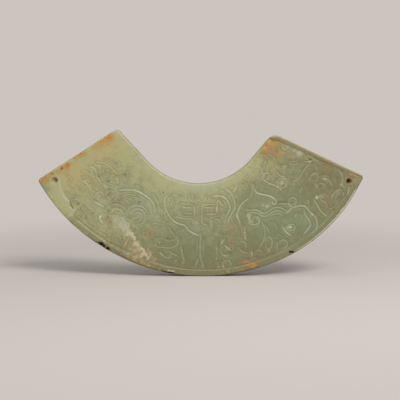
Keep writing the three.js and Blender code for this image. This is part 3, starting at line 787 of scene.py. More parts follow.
def sharesOut(points, px, py, radius):  # distance from a pixel, as a share of a radius in pixels
    return farFrom(points, *spot(px, py)) / (radius * photo["pixel"])


def toPolyline(points, run, closed=False):  # distance in metres from each point to a run of pixels
    line = np.array([spot(*place) for place in run])
    if closed:
        line = np.vstack([line, line[:1]])
    nearest = np.full(len(points), 1.0)
    for start, end in zip(line[:-1], line[1:]):
        step = end - start
        across, up = points[:, 0] - start[0], points[:, 2] - start[1]
        share = np.clip((across * step[0] + up * step[1]) / (step @ step), 0, 1)
        nearest = np.minimum(nearest, np.hypot(across - share * step[0], up - share * step[1]))
    return nearest


def insideOutline(points, run, soft):  # 1 inside the outline, 0 outside, eased over soft metres
    line = np.array([spot(*place) for place in run])
    inside = np.zeros(len(points), bool)
    for start, end in zip(line, np.roll(line, -1, 0)):
        crosses = (start[1] > points[:, 2]) != (end[1] > points[:, 2])
        rise = np.where(end[1] == start[1], 1e-9, end[1] - start[1])
        inside ^= crosses & (points[:, 0] < start[0] + (points[:, 2] - start[1]) * (end[0] - start[0]) / rise)
    signed = toPolyline(points, run, True) * np.where(inside, 1, -1)
    return np.clip(0.5 + signed / soft, 0, 1)


def pressedDents(points):  # depth pressed into the face at each point
    depth = np.zeros(len(points))
    pits = [(px, py, radius * dents["pitSpread"], dents["pitDepth"] * amount)
            for px, py, radius, amount in patches["pit"]]
    for px, py, radius, pressed in dents["spots"] + pits:
        depth += pressed * mm * np.clip(1 - sharesOut(points, px, py, radius) ** 2, 0, 1) ** 2
    return depth


# Traces of the cord saw across the back, in mm
saw = {
    # centre x and z, radius, and how deep
    "traces": [
        (-30, -58, 88, 0.05), (-31, -60, 95.4, 0.035), (-29, -57, 97.8, 0.05), (-28, -59, 103, 0.04),
        (-33, -56, 79.6, 0.03), (-34, -57, 76, 0.045), (-27, -58, 108.4, 0.04), (-30, -55, 70.2, 0.035),
    ],
    "half": 0.45,                   # half width of a trace
    "fades": 5,                     # how often it comes and goes in a full turn
}


def tracedBack(points):
    depth = np.zeros(len(points))
    for index, (x, z, radius, pressed) in enumerate(saw["traces"]):
        across, up = points[:, 0] / mm - x, points[:, 2] / mm - z
        off = (np.hypot(across, up) - radius) / saw["half"]
        fade = 0.5 + 0.5 * np.sin(np.arctan2(across, up) * saw["fades"] + index)
        depth += pressed * mm * np.clip(1 - off ** 2, 0, 1) * fade
    return depth


# Saw step along the right end
sawStep = {
    "widths": (0.5, 0.95, 1.12, 1.2, 1.34, 1.42, 1.48),     # in mm, from the lower corner to the tip
    "soft": 0.22 * mm,              # how soft its edge is
    "samples": 300,                 # places along it that distances are measured from
}


def fromStep(points, sides):  # distance inwards from the edge of the saw step, negative on the step
    shares = np.linspace(0, 1, sawStep["samples"])
    nearest = np.full(len(points), 1.0)
    signed = nearest.copy()
    for (x, z), width in zip(alongSide(sides["right"], shares), splineValue(sawStep["widths"], shares)):
        far = farFrom(points, x, z)
        closer = far < nearest
        nearest[closer], signed[closer] = far[closer], far[closer] - width * mm
    return signed


def coordinates(mesh):
    points = np.empty(len(mesh.vertices) * 3, np.float32)
    mesh.vertices.foreach_get("co", points)
    return points.reshape(-1, 3).astype(float)


def applyModifiers(obj, name):  # the evaluated result as a plain mesh
    graph = bpy.context.evaluated_depsgraph_get()
    result = bpy.data.meshes.new_from_object(obj.evaluated_get(graph))
    result.name = name
    obj.modifiers.clear()
    obj.data = result


# Holes, each drilled aslant from both faces
holes = {
    # front mouth in pixels; radii at the worn rim, below it and in the middle
    "left": {"at": (54.2, 180), "flare": 1.25 * mm, "mouth": 0.95 * mm, "waist": 0.68 * mm},
    "right": {"at": (348.9, 181), "flare": 1.3 * mm, "mouth": 0.98 * mm, "waist": 0.66 * mm},
    "lean": 2.0 * mm,               # the back mouth lies this far nearer the tip
    "flareDepth": 0.3 * mm,
    "waistShare": 0.15,             # share of the thickness over which the waist is straight
    "sides": 48, "overrun": 1 * mm, "overrunSlope": 0.5,
    # where the colour of the wall begins: beyond the rim, and below the faces
    "rimShare": 1.02, "rimSoft": 0.12 * mm, "wallFrom": 0.1 * mm, "wallSoft": 0.25 * mm,
}


def leanOf(side, sides):  # how far a hole moves sideways and upwards for each metre of depth
    line = sides[side]
    low, high = (line[0], line[-1]) if side == "right" else (line[-1], line[0])
    return (high - low) / np.linalg.norm(high - low) * holes["lean"] / slab["thickness"]


def drillHoles(obj, sides):
    half, over, around = slab["thickness"] / 2, holes["overrun"], holes["sides"]
    for side in ("left", "right"):
        hole = holes[side]
        lean = leanOf(side, sides)
        x, z = spot(*hole["at"])
        profile = [(hole["flare"] + over * holes["overrunSlope"], half + over), (hole["flare"], half),
                   (hole["mouth"], half - holes["flareDepth"]), (hole["waist"], holes["waistShare"] * half)]
        profile += [(radius, -y) for radius, y in profile[::-1]]
        vertices, faces = [], []
        for radius, y in profile:
            for step in range(around):
                angle = 2 * math.pi * step / around
                vertices.append((x + lean[0] * (y + half) + radius * math.cos(angle), y,
                                 z + lean[1] * (y + half) + radius * math.sin(angle)))
        for ring in range(len(profile) - 1):
            for step in range(around):
                a, b = ring * around + step, ring * around + (step + 1) % around
                faces.append((a, b, b + around, a + around))
        faces.append(tuple(range(around))[::-1])
        faces.append(tuple(range((len(profile) - 1) * around, len(profile) * around)))
        mesh = bpy.data.meshes.new(f"drill{side}")
        mesh.from_pydata(vertices, [], faces)
        mesh.validate()
        cutter = addObject(f"drill{side}", mesh)
        modifier = obj.modifiers.new("drill", "BOOLEAN")
        modifier.operation, modifier.solver, modifier.object = "DIFFERENCE", "MANIFOLD", cutter
        applyModifiers(obj, "jade_slab")
        bpy.data.objects.remove(cutter)


def inHole(points, side, sides):  # 1 on the wall of a hole, 0 elsewhere
    half = slab["thickness"] / 2
    lean = leanOf(side, sides)
    x, z = spot(*holes[side]["at"])
    depth = points[:, 1] + half
    far = np.hypot(points[:, 0] - x - lean[0] * depth, points[:, 2] - z - lean[1] * depth)
    wall = np.clip((holes[side]["flare"] * holes["rimShare"] - far) / holes["rimSoft"], 0, 1)
    return wall * np.clip((half - np.abs(points[:, 1]) - holes["wallFrom"]) / holes["wallSoft"], 0, 1)


# Colour patches on the slab: pixel x, pixel y, radius in pixels, strength
patches = {
    # Rust skin
    "rust": [
        (105, 138, 4.4, 1.1), (109, 135.8, 4, 1.1), (100, 141.2, 3.4, 0.9), (95.4, 143.6, 2.6, 0.9),
        (81, 152, 2.4, 0.8), (67, 164.8, 4.2, 1.2), (61.4, 168, 2.6, 1.45), (71, 163.6, 3.6, 0.6),
        (51.4, 173, 2.6, 1.4), (45.4, 177.6, 3.4, 1.2), (42, 180.6, 3.4, 1.2), (40.4, 183.4, 2.4, 1),
        (48, 175.6, 2.6, 0.8), (76, 167, 1.8, 0.7), (75, 174, 1.6, 0.6), (68, 171.6, 1.6, 0.6),
        (56.6, 170.4, 2.4, 0.9), (58.6, 173.6, 3, 0.4), (90, 147.6, 2, 0.5), (269, 140.6, 4, 0.8),
        (266, 145.2, 2.6, 1.25), (275, 137.6, 3.4, 0.7), (263, 149.6, 3.6, 0.8), (272.4, 145.6, 2, 1),
        (274.6, 140.8, 1.8, 1.2), (268, 151, 4, 0.6), (274, 149, 4.4, 0.5), (281.6, 139.6, 3, 0.6),
        (246.8, 263, 2.6, 1.4), (244, 261, 2, 0.8), (251, 265, 2.2, 0.9), (253.6, 266, 2.2, 0.7),
        (239, 270.6, 2, 0.5), (344.6, 170, 2.4, 0.5), (350.6, 172.6, 2.2, 0.6),
    ],
    # The paler fringe of the rust
    "ochre": [
        (267, 147, 6, 1), (274, 142.6, 6, 1), (279, 152, 5, 0.8), (281, 137, 4, 1), (274, 157, 4, 0.5),
        (264, 152.6, 3.4, 0.7), (286.4, 137.6, 3, 0.6), (350.4, 172, 3.2, 1.1), (345.4, 170, 3, 0.7),
        (354.6, 175, 2.6, 0.6), (350, 176.4, 3, 0.4), (108, 138.4, 7, 1), (100, 143.6, 6, 0.8),
        (94, 147.4, 5, 0.6), (113, 145, 5, 0.4), (84, 153, 4, 1), (80, 155, 3.4, 1), (76, 158, 3.4, 0.9),
        (66, 167, 6, 0.7), (60, 171, 5, 0.7), (50, 177, 5, 0.7), (43, 182, 4, 0.8), (75, 171, 5, 0.4),
        (127.6, 256.4, 2.2, 0.9), (134, 260, 2.6, 0.8), (141, 262.8, 2.6, 0.9), (147, 264.6, 2.4, 0.9),
        (152, 266.6, 2, 0.7), (140, 257, 3, 0.3), (134, 247, 3, 0.6), (130, 243, 3, 0.5),
        (248, 263.6, 3, 0.8), (253, 265.6, 3.6, 1.3), (242, 269.8, 2.4, 1), (227.6, 271.4, 2.8, 1),
        (131, 232.6, 2.6, 0.9), (132.4, 237, 2.4, 0.7), (270, 262, 4, 0.3), (66, 192, 4, 0.3),
        (309, 158, 5, 0.3), (150, 250, 5, 0.3),
    ],
    # Iron that has soaked in
    "tan": [
        (284, 154, 8, 0.5), (268, 166, 6, 0.3), (290, 168, 7, 0.4), (318, 172, 6, 0.5),
        (327, 168, 5, 0.7), (329, 193, 6, 0.7), (320, 186, 4, 0.7), (336, 202, 5, 0.5),
        (266, 240, 4, 0.5), (272, 246, 4, 0.5), (276, 250, 4, 0.5), (284, 232, 4, 0.3),
        (297, 218, 5, 0.3), (244, 214, 3, 0.4), (300, 250, 4, 0.7), (292, 254, 4, 0.7),
        (310, 243, 4, 0.6), (282, 258, 4, 0.6), (319, 236, 4, 0.5), (327, 228.6, 3, 0.6),
        (114, 172, 6, 0.6), (122, 176, 5, 0.6), (100, 178, 6, 0.5), (91, 166, 6, 0.5), (109, 192, 5, 0.6),
        (87, 197, 5, 0.5), (108, 220, 5, 0.8), (230.5, 224.6, 4, 0.9), (234, 222.4, 3, 0.5),
        (230.4, 240.4, 4.4, 0.9), (234, 243, 3, 0.5), (228, 257, 5, 0.5), (155, 258.4, 3, 0.8),
        (152, 231, 4.4, 0.9), (147.6, 234.4, 3.6, 0.8), (143, 232, 3, 0.5), (107.4, 218.4, 4, 0.8),
        (315.6, 187, 2.4, 0.8), (333.6, 208.6, 2.6, 0.9), (126, 243, 6, 0.7), (121.6, 239.6, 3, 0.8),
        (246, 262, 6, 0.7), (225, 263, 5, 0.5), (134, 251, 5, 0.6), (240, 257, 5, 0.4),
        (272, 150, 7, 0.9), (280, 155, 5, 0.6), (262, 156, 4, 0.5), (326, 202, 5, 0.4),
        (331, 204, 4, 0.5), (306, 174, 4, 0.4), (165, 221, 3, 0.4), (146, 206, 4, 0.3), (88, 176, 6, 0.3),
        (78, 204, 5, 0.4), (70, 197, 5, 0.3),
    ],
    # Soil in the hollows
    "soil": [
        (324, 169, 5, 0.8), (328, 192, 5, 0.8), (72, 198.6, 6, 0.6), (78, 203, 3.4, 0.7),
        (66, 193.4, 4, 0.5), (86, 176, 5, 0.5), (92, 171, 5, 0.5), (97, 181, 5, 0.5), (104, 186, 5, 0.5),
        (109.4, 193, 3.4, 0.9), (113.7, 168, 3, 0.6), (124.4, 175, 4.4, 0.8), (119, 181, 4, 0.5),
        (107.6, 218, 3.6, 1), (110, 221, 2.6, 0.9), (131, 203, 6, 0.6), (138.8, 203, 3, 0.7),
        (126, 201, 5, 0.5), (149.6, 233.6, 4.6, 0.9), (146, 232, 3, 0.7), (140.6, 233.4, 2.2, 0.9),
        (123.6, 240.6, 3.4, 0.9), (156.7, 260, 2.4, 0.6), (166, 222, 3, 0.5), (183, 212.6, 3, 0.3),
        (209.6, 206.4, 3, 0.3), (233, 239.4, 4.4, 0.6), (230, 243, 3.4, 0.7), (241, 227, 2, 0.5),
        (256, 206, 5, 0.4), (264, 205, 4, 0.5), (272, 202, 3, 0.4), (281, 202, 5, 0.6),
        (321, 186.2, 2.8, 1), (327, 198, 4, 0.6), (333.4, 208.6, 2.6, 1), (325, 206, 4, 0.6),
        (330, 203, 4, 0.5), (276, 150, 5, 0.8), (270, 148.4, 5, 0.9), (277, 144, 4, 0.6),
        (272, 156, 5, 0.7), (247, 260.6, 3.4, 0.9), (240, 265, 5, 0.6), (281, 157, 4, 0.4),
        (282.6, 220, 3.4, 0.5), (309, 188, 4, 0.6), (286, 238, 3, 0.3), (118, 145.6, 4, 0.5),
        (112, 148, 4, 0.4), (211, 231, 2.6, 0.5), (245, 238, 3, 0.4), (146, 208, 2, 0.4),
        (153, 233, 5, 0.8), (231, 225, 4, 0.8), (230, 243, 7, 0.7), (228, 256, 6, 0.5),
        (240, 254, 6, 0.4), (126, 243, 6, 0.8), (116, 214, 3, 0.5), (300, 164, 6, 0.4),
        (316, 188, 6, 0.5), (100, 178, 8, 0.45), (62.6, 183.6, 3, 0.3), (94, 216, 4, 0.3),
        (84, 214, 5, 0.4), (71, 181, 2.4, 0.6), (108, 203, 2.4, 0.6), (98.5, 173, 2.6, 0.5),
        (83.2, 174.6, 2.6, 0.6), (328.5, 186.6, 2.6, 0.6), (346, 183, 3, 0.5),
    ],
    # White, clouded places, and small painted highlights on worn crests
    "milk": [
        (131.6, 233.6, 2.6, 1.1), (126.4, 234.6, 2.2, 0.9), (143, 248, 1.6, 0.8),
        (138.6, 245.4, 1.6, 0.8), (100, 216.2, 1.6, 1.2), (101.4, 221, 1.8, 0.7), (262.6, 205, 1.3, 0.6),
        (266.8, 206, 1.3, 0.6), (281, 182.4, 1.6, 0.6), (289.6, 227, 1.4, 0.6), (316, 197, 1.8, 0.8),
        (299, 152.8, 2.2, 0.6), (228.5, 272.2, 1.3, 1), (148, 265, 1.6, 0.9), (140.6, 252.6, 1.4, 0.6),
        (152, 259.6, 1.2, 0.7),
    ],
    # Pale, clear places, and soft painted highlights round some worn crests
    "lens": [
        (113.6, 216.4, 4, 0.7), (117.4, 219.4, 5.4, 0.9), (121, 223.4, 6, 1), (124.6, 227, 6, 1),
        (127.6, 231, 5, 0.9), (122, 218.6, 4, 0.7), (117, 226, 4, 0.6), (121, 231, 4, 0.5),
        (131.6, 235.6, 3.6, 0.7), (114, 226, 5, 0.5), (118, 232, 5, 0.5), (89, 153, 5, 0.4),
        (71.6, 165.6, 4, 0.45), (100.5, 144.5, 3.6, 0.4), (299, 152.8, 4.4, 0.9), (289, 146, 3.4, 0.7),
        (294, 149.4, 3.4, 0.8), (117, 213, 4, 0.5), (321, 196.4, 5, 0.6), (316, 197, 2.6, 0.8),
        (334, 179.5, 4.4, 0.5), (327.5, 171.5, 4, 0.5), (281, 182.4, 3.4, 0.8), (289.6, 227, 2.6, 0.7),
        (262.6, 205, 2.4, 0.8), (266.8, 206, 2.4, 0.8), (216, 234, 2, 0.6), (194.5, 222.6, 5, 0.6),
        (198.6, 228, 5, 0.45), (249, 216, 4, 0.5), (292, 155, 6, 0.4), (284, 152, 5, 0.4),
        (169.6, 235.6, 3.4, 0.4), (172, 201.4, 3, 0.5), (250.6, 255, 2, 0.5), (338, 192, 3.6, 0.5),
    ],
    # Cream patches along the vein
    "cream": [
        (132.4, 236.6, 3, 0.8), (136, 243.6, 4, 0.9), (139.6, 248.6, 5, 0.9), (144, 252.6, 4.6, 0.85),
        (148, 256.6, 4.4, 0.75), (152, 259.4, 3.6, 0.6), (138.6, 255, 5, 0.55), (134, 251, 4, 0.6),
        (142, 260.6, 4, 0.5), (134, 258, 3.4, 0.5), (128, 253.4, 3.4, 0.5),
    ],
    # Black specks: mostly dark inclusions; the ones at the left tip and the lower right rim are painted
    # shadow
    "speck": [
        (101, 243.4, 2, 1.2), (98.6, 242, 1.6, 1), (103.6, 245.2, 1.7, 1.1), (107, 248.6, 2.2, 1.2),
        (289.8, 251.4, 1.4, 1.2), (292.2, 251.6, 1.3, 1.2), (39.6, 184.6, 1.3, 0.9),
        (240, 269.4, 1.6, 0.5), (309.6, 159.2, 1.8, 0.6), (163, 192, 0.9, 0.9), (327.4, 229, 2, 1),
        (313, 240.5, 1.8, 1),
    ],
    # Dark stains
    "stain": [
        (328, 171, 9, 0.62), (336, 178, 8, 0.58), (322, 181, 6, 0.5), (330, 189, 8, 0.55),
        (316, 169, 6, 0.45), (339, 194, 7, 0.55), (346, 196, 6, 0.5), (318, 176, 5, 0.5),
        (300, 160, 6, 0.4),
    ],
    # Small pits that hold dark soil
    "pit": [
        (98, 176, 1.2, 1.2), (108, 181, 1.2, 1.2), (114, 168.2, 1, 0.8), (119.8, 170.2, 1, 0.8),
        (124.5, 173.8, 1.4, 1.2), (89.5, 182.8, 1, 0.9), (89.5, 171, 1, 0.7), (85, 165.5, 1.6, 0.5),
        (78, 181.8, 1, 0.8), (82.2, 179.2, 1, 0.8), (73, 187.5, 1, 0.8), (74, 194.5, 1, 0.8),
        (76, 196, 1, 0.7), (73, 198, 1.1, 0.9), (78, 203.5, 1.4, 1.2), (87, 195.5, 1, 0.8),
        (87.8, 197, 0.9, 0.7), (90, 198.8, 1, 0.8), (109, 189.5, 1, 0.8), (108, 194, 1.2, 1),
        (110.5, 196.5, 1, 0.8), (107, 195.5, 1, 0.8), (119, 201, 1, 0.8), (107.8, 210, 1.3, 1.2),
        (103.8, 212.5, 1, 0.8), (102, 182, 1, 0.8), (103.5, 181.5, 0.9, 0.7), (115.4, 175.4, 1.1, 0.8),
        (100.5, 176, 1, 0.7), (87, 210, 1, 0.7), (94, 213.2, 1, 0.7), (83.5, 211, 1, 0.7),
        (119, 141.5, 1, 0.7), (132.8, 231.5, 1.1, 1), (125, 221, 1, 0.7), (140.5, 233, 1.1, 0.6),
        (144, 231, 1, 0.8), (144, 235, 1, 0.8), (148.8, 233, 1.2, 0.9), (138.5, 202, 1.4, 1.2),
        (137.5, 204.8, 1, 0.8), (141, 208, 1, 0.8), (105, 220, 1.2, 0.9), (106.5, 216.5, 1.2, 0.9),
        (163, 220, 0.9, 0.7), (166.5, 221.5, 1, 0.8), (167, 237.5, 1.1, 1.1), (152, 238.8, 1, 0.8),
        (135.5, 240, 1, 0.8), (142, 240, 1, 0.8), (137.5, 221.5, 1, 0.8), (129.5, 215, 1, 0.8),
        (127, 212, 1, 0.7), (148, 255, 1.1, 0.9), (146.5, 258.5, 1, 0.8), (172.5, 243, 1, 0.8),
        (243, 230.8, 1, 0.8), (221, 234, 1, 0.8), (227, 224, 1.1, 0.8), (212.8, 231, 1.1, 0.9),
        (231, 242.5, 1.2, 0.9), (225.5, 239, 1, 0.7), (248, 259, 1, 0.8), (227, 263, 1, 0.8),
        (312.8, 211.7, 1, 0.9), (322.5, 199, 1, 0.8), (320, 186.2, 1.5, 1.2), (322.5, 171.5, 1.3, 0.8),
        (263.5, 153, 2, 0.8), (327, 229, 1.4, 0.9), (121.6, 239.6, 1.2, 0.8), (126, 241, 1.2, 0.8),
        (157.4, 260.6, 1, 0.8), (209.4, 206.2, 1, 0.7), (333.4, 209, 1.4, 1.1), (303.6, 175, 0.9, 0.6),
        (276, 150.6, 1.4, 0.8), (280.4, 220, 1, 0.7), (190, 228.4, 1, 0.6), (183.4, 199, 0.9, 0.6),
    ],
    # Worn places, painted lighter as highlights
    "glint": [
        (95.3, 164.6, 1.2, 0.9), (90.5, 169, 1, 0.7), (96.5, 162.5, 1, 0.8), (104.5, 186, 1.8, 0.8),
        (105.8, 186.8, 1, 0.8), (112, 188, 1, 0.8), (88.5, 208.3, 1, 0.8), (104.5, 211.3, 1, 0.8),
        (82.9, 216, 1.1, 0.8), (78.5, 161, 1, 0.7), (119, 143, 0.9, 0.7), (117, 248.3, 1.2, 0.8),
        (121, 254, 1, 0.8), (127, 257, 1, 0.7), (138, 258.5, 1, 0.7), (141.5, 258, 0.9, 0.7),
        (123.5, 235.2, 1.2, 0.7), (146.5, 246.5, 0.9, 0.8), (159, 242, 1, 0.9), (179.5, 246.5, 1, 0.8),
        (181, 250.5, 1, 0.8), (183, 258, 1, 0.8), (182, 262.5, 1, 0.8), (175.4, 261, 1.1, 0.8),
        (194.2, 266.4, 1.2, 0.5), (202.2, 265.4, 1.4, 0.8), (153, 267.2, 1, 0.8), (158.5, 268.8, 1, 0.9),
        (163.7, 269.8, 1, 0.8), (174, 197.5, 1.4, 0.5), (171.5, 201, 1.2, 0.5), (172, 205.5, 1.2, 0.5),
        (199, 202.5, 1.3, 0.6), (236.8, 215.8, 1.2, 1.2), (247, 215.5, 1.4, 0.9),
        (252.5, 223.5, 1.1, 0.8), (210, 226.5, 1, 0.7), (243.5, 232, 1.1, 1.1), (221.5, 242.5, 1.2, 1.1),
        (222, 247.5, 1, 0.8), (222, 255, 1, 0.8), (224, 255.3, 1, 0.8), (216, 248.5, 1.2, 0.8),
        (216, 258.5, 1, 0.8), (218.5, 267, 1, 0.8), (222.8, 266, 1.2, 1.1), (234, 256.5, 1.2, 0.5),
        (236.5, 257.5, 1, 0.5), (232, 262, 1.2, 0.5), (277, 186.5, 1.1, 1), (280, 189, 1.2, 1),
        (284, 166, 1.5, 0.7), (275.7, 181.5, 1, 0.7), (272.3, 198.5, 1.2, 1), (287.6, 226.6, 1.8, 0.9),
        (291.6, 226.4, 1.4, 0.5), (265.8, 244.5, 1, 0.8), (270.8, 243, 1, 0.8), (268, 241.5, 0.9, 0.8),
        (268.5, 250, 1.1, 1.1), (262.5, 247.5, 1, 0.7), (294.5, 244.5, 1.2, 0.5), (311.5, 214, 1.6, 1.2),
        (316.4, 197, 2.2, 0.8), (313.4, 174.6, 1.8, 0.5), (308.5, 179, 1.1, 0.8), (324, 179, 1.5, 0.9),
        (336.5, 192.5, 1.8, 0.6), (340, 201.5, 1, 0.6), (340.8, 184.3, 1.2, 1.1), (60.4, 177.4, 1, 0.5),
    ],
    # The polished strip at the lower left
    "polish": [
        (50, 179, 4, 0.8), (52, 184, 4.4, 1), (54.4, 188.6, 4.4, 1), (57.4, 193, 4.4, 1),
        (60.4, 197.6, 4.4, 1), (63.6, 202, 4.4, 1), (66.4, 206.6, 4.4, 1), (68.6, 211, 4.2, 1),
        (46, 184, 3.4, 0.8),
    ],
}

# Streaks of colour, as runs of pixels: half width in pixels, strength, run
streaks = {
    # White veins, and a few short pale lines that are painted highlights
    "milk": [
        (0.8, 1.3, [(128, 231.6), (131, 234), (133.4, 236.6), (134.6, 239.4)]),
        (0.9, 0.9, [(135.5, 242), (138, 245), (140.6, 246.8), (143, 248)]),
        (0.7, 1.0, [(135, 241.6), (139.4, 246.2), (143.4, 250.6), (146.4, 254.6), (147.4, 258.4)]),
        (0.6, 0.9, [(146.6, 247), (148.6, 250.4), (149, 253.6)]),
        (0.6, 0.8, [(152, 254), (154.6, 256.4), (156.4, 259.4)]),
        (0.6, 0.8, [(139, 255.6), (143, 258.6), (146, 259.4)]),
        (0.6, 0.7, [(145, 252), (146.6, 256), (146, 260.5)]),
        (0.7, 0.9, [(129.6, 236), (126, 241), (124.4, 246)]),
        (0.7, 0.8, [(135, 243), (131, 247.4), (127, 249.6)]),
        (0.8, 0.9, [(120, 216.5), (123.5, 220.5), (127.5, 223), (129.5, 226.5)]),
        (0.7, 0.8, [(112.5, 219.5), (116.5, 223.5), (121, 227), (124.5, 231.6)]),
        (0.7, 0.9, [(99.4, 214.6), (99.6, 219), (101.4, 222.4)]),
        (0.9, 1.3, [(167.4, 269.8), (173.4, 270.8)]),
        (0.7, 0.7, [(146.5, 264.5), (150, 265.5)]),
    ],
    # Pale rim of the polished strip, lightened in part as a painted highlight
    "lens": [
        (1.5, 0.75, [(57, 176.4), (58.6, 180), (59.4, 185), (60.6, 189.8), (62.6, 194), (65.4, 197.8),
                     (68.4, 201)]),
        (1.5, 0.85, [(69.6, 207.4), (73.6, 209), (72.6, 212), (70.8, 214.4), (67, 216.2)]),
    ],
    # Worn crests, painted lighter as highlights
    "glint": [
        (0.8, 1.2, [(146.5, 264.5), (150, 265.5)]),
        (0.9, 1.0, [(236.6, 214), (237, 217.6)]),
        (0.8, 1.0, [(216.4, 207), (216, 211.4)]),
        (0.8, 0.7, [(224.4, 245.8), (227, 247.8), (229.4, 249.4)]),
        (0.7, 0.9, [(244, 234.8), (244.8, 238.6)]),
        (0.7, 0.9, [(251.3, 252.5), (251.7, 255.5)]),
        (0.8, 0.9, [(256.5, 217.5), (258.2, 219.8)]),
        (0.7, 0.8, [(159, 252), (162.5, 255.5)]),
        (0.7, 0.8, [(84.5, 232.5), (87.5, 235)]),
        (0.7, 0.8, [(74.5, 225.5), (79.5, 229)]),
        (0.7, 0.7, [(121.5, 250.8), (126.5, 253.5)]),
        (0.7, 0.8, [(284.5, 183), (285.5, 185.8)]),
        (0.8, 0.9, [(283.6, 227.4), (285.6, 231.4), (289.6, 234.8)]),
        (1.5, 1.0, [(249, 213.8), (248.8, 217.4), (250.4, 221.4)]),
        (0.8, 0.7, [(250.4, 221.4), (253.4, 224.2), (256.4, 223.4)]),
        (0.8, 0.7, [(256.6, 218.4), (259, 221), (258, 225.4), (254.6, 227)]),
        (0.8, 0.8, [(111.4, 212), (113.4, 209.4), (118, 208.8), (121.6, 210.6)]),
        (0.8, 0.6, [(116, 211.6), (121, 212.8), (124, 216)]),
        (0.7, 0.7, [(331, 198.5), (333, 194)]),
        (0.7, 0.8, [(342.5, 192), (343.5, 195.5)]),
        (0.7, 0.8, [(348.6, 186.8), (348.3, 190.6), (347, 194)]),
        (0.6, 0.7, [(308, 155.5), (319, 161.5)]),
        (0.7, 0.5, [(93, 201.4), (99, 204.6), (103.4, 207.4)]),
        (0.7, 0.6, [(216.4, 246.6), (216.2, 252), (216.4, 258.6)]),
        (0.7, 0.8, [(80.6, 180.6), (86.6, 184), (89.3, 190)]),
        (0.7, 0.8, [(88.4, 166.6), (95, 170.6)]),
        (0.7, 0.8, [(116.9, 178), (117, 183.4)]),
        (0.6, 0.7, [(76.4, 219.8), (85, 227.2), (94.6, 234.2), (103.6, 240.8)]),
    ],
    # Rust along the edges
    "rust": [
        (0.6, 0.6, [(114, 250.4), (120, 253.4), (128, 257.4), (136, 261.2)]),
        (0.8, 0.8, [(40, 183), (46, 176.4), (52, 172.6)]),
        (0.8, 1.2, [(72.4, 158.4), (77, 155.4), (82, 152)]),
        (0.8, 0.9, [(97, 142.4), (104, 138), (110.6, 134.2)]),
        (0.8, 0.8, [(263, 147.4), (268, 141.4), (273, 137.6)]),
        (0.6, 0.8, [(249.6, 266.4), (253, 265), (256.6, 264.4)]),
    ],
    # Black line under the chip on the lower edge: painted shadow
    "speck": [(0.8, 1.2, [(161.6, 270.8), (167, 271.9), (173.4, 272.9)])],
    # Soil along the lower rim and beside the threads
    "soil": [
        (1.2, 0.9, [(262, 262.6), (276, 257.6), (290, 251.6), (303, 244.6)]),
        (1.0, 0.8, [(303, 244.6), (314, 238.4), (324, 230)]),
        (1.2, 0.9, [(181, 213.4), (187, 214.2)]),
        (0.9, 0.8, [(264.6, 224), (265.6, 230), (265.4, 236)]),
        (0.9, 0.7, [(98, 168), (102, 173.4), (104, 178.6)]),
        (0.9, 0.7, [(111, 166), (117, 169.4), (121.6, 174)]),
        (0.9, 0.7, [(104, 189.6), (110, 190), (113, 194)]),
    ],
    # Dark streaks: painted shadow along the lower edge, and dark lines in the grooves
    "stain": [
        (1.1, 1.3, [(226, 273.8), (234, 272.8), (242, 271.4), (250, 269.4), (258, 266.8)]),
        (0.9, 1.3, [(116, 252), (124, 257), (130, 260.4), (140, 264.9), (150, 267.9), (158, 269.9)]),
        (0.9, 0.7, [(234, 270.4), (238, 269.6)]),
        (0.9, 0.9, [(68.6, 220.4), (76, 228), (84, 234.4), (92, 239.4), (104, 245.6), (116, 251)]),
        (0.8, 0.8, [(277.1, 202), (282, 201.8), (287.4, 202)]),
        (0.9, 0.9, [(69.6, 201.4), (70.6, 205), (72.6, 208)]),
        (0.7, 0.7, [(93.5, 199), (96.5, 200.5)]),
        (0.7, 0.8, [(112, 202.3), (117, 202.3)]),
        (0.8, 0.8, [(129.6, 226), (131, 228.6)]),
        (0.7, 0.8, [(80, 206), (80.5, 209.5)]),
        (1.2, 1.0, [(97, 241.6), (102, 244.2), (106, 246)]),
        (0.9, 0.8, [(102.6, 247.4), (111, 250.4)]),
        (0.8, 1.0, [(226.6, 251.4), (230.6, 251.8)]),
        (0.8, 0.6, [(306.5, 157.5), (311, 159.5)]),
        (0.9, 0.8, [(324.6, 231.4), (331, 226.4)]),
    ],
}


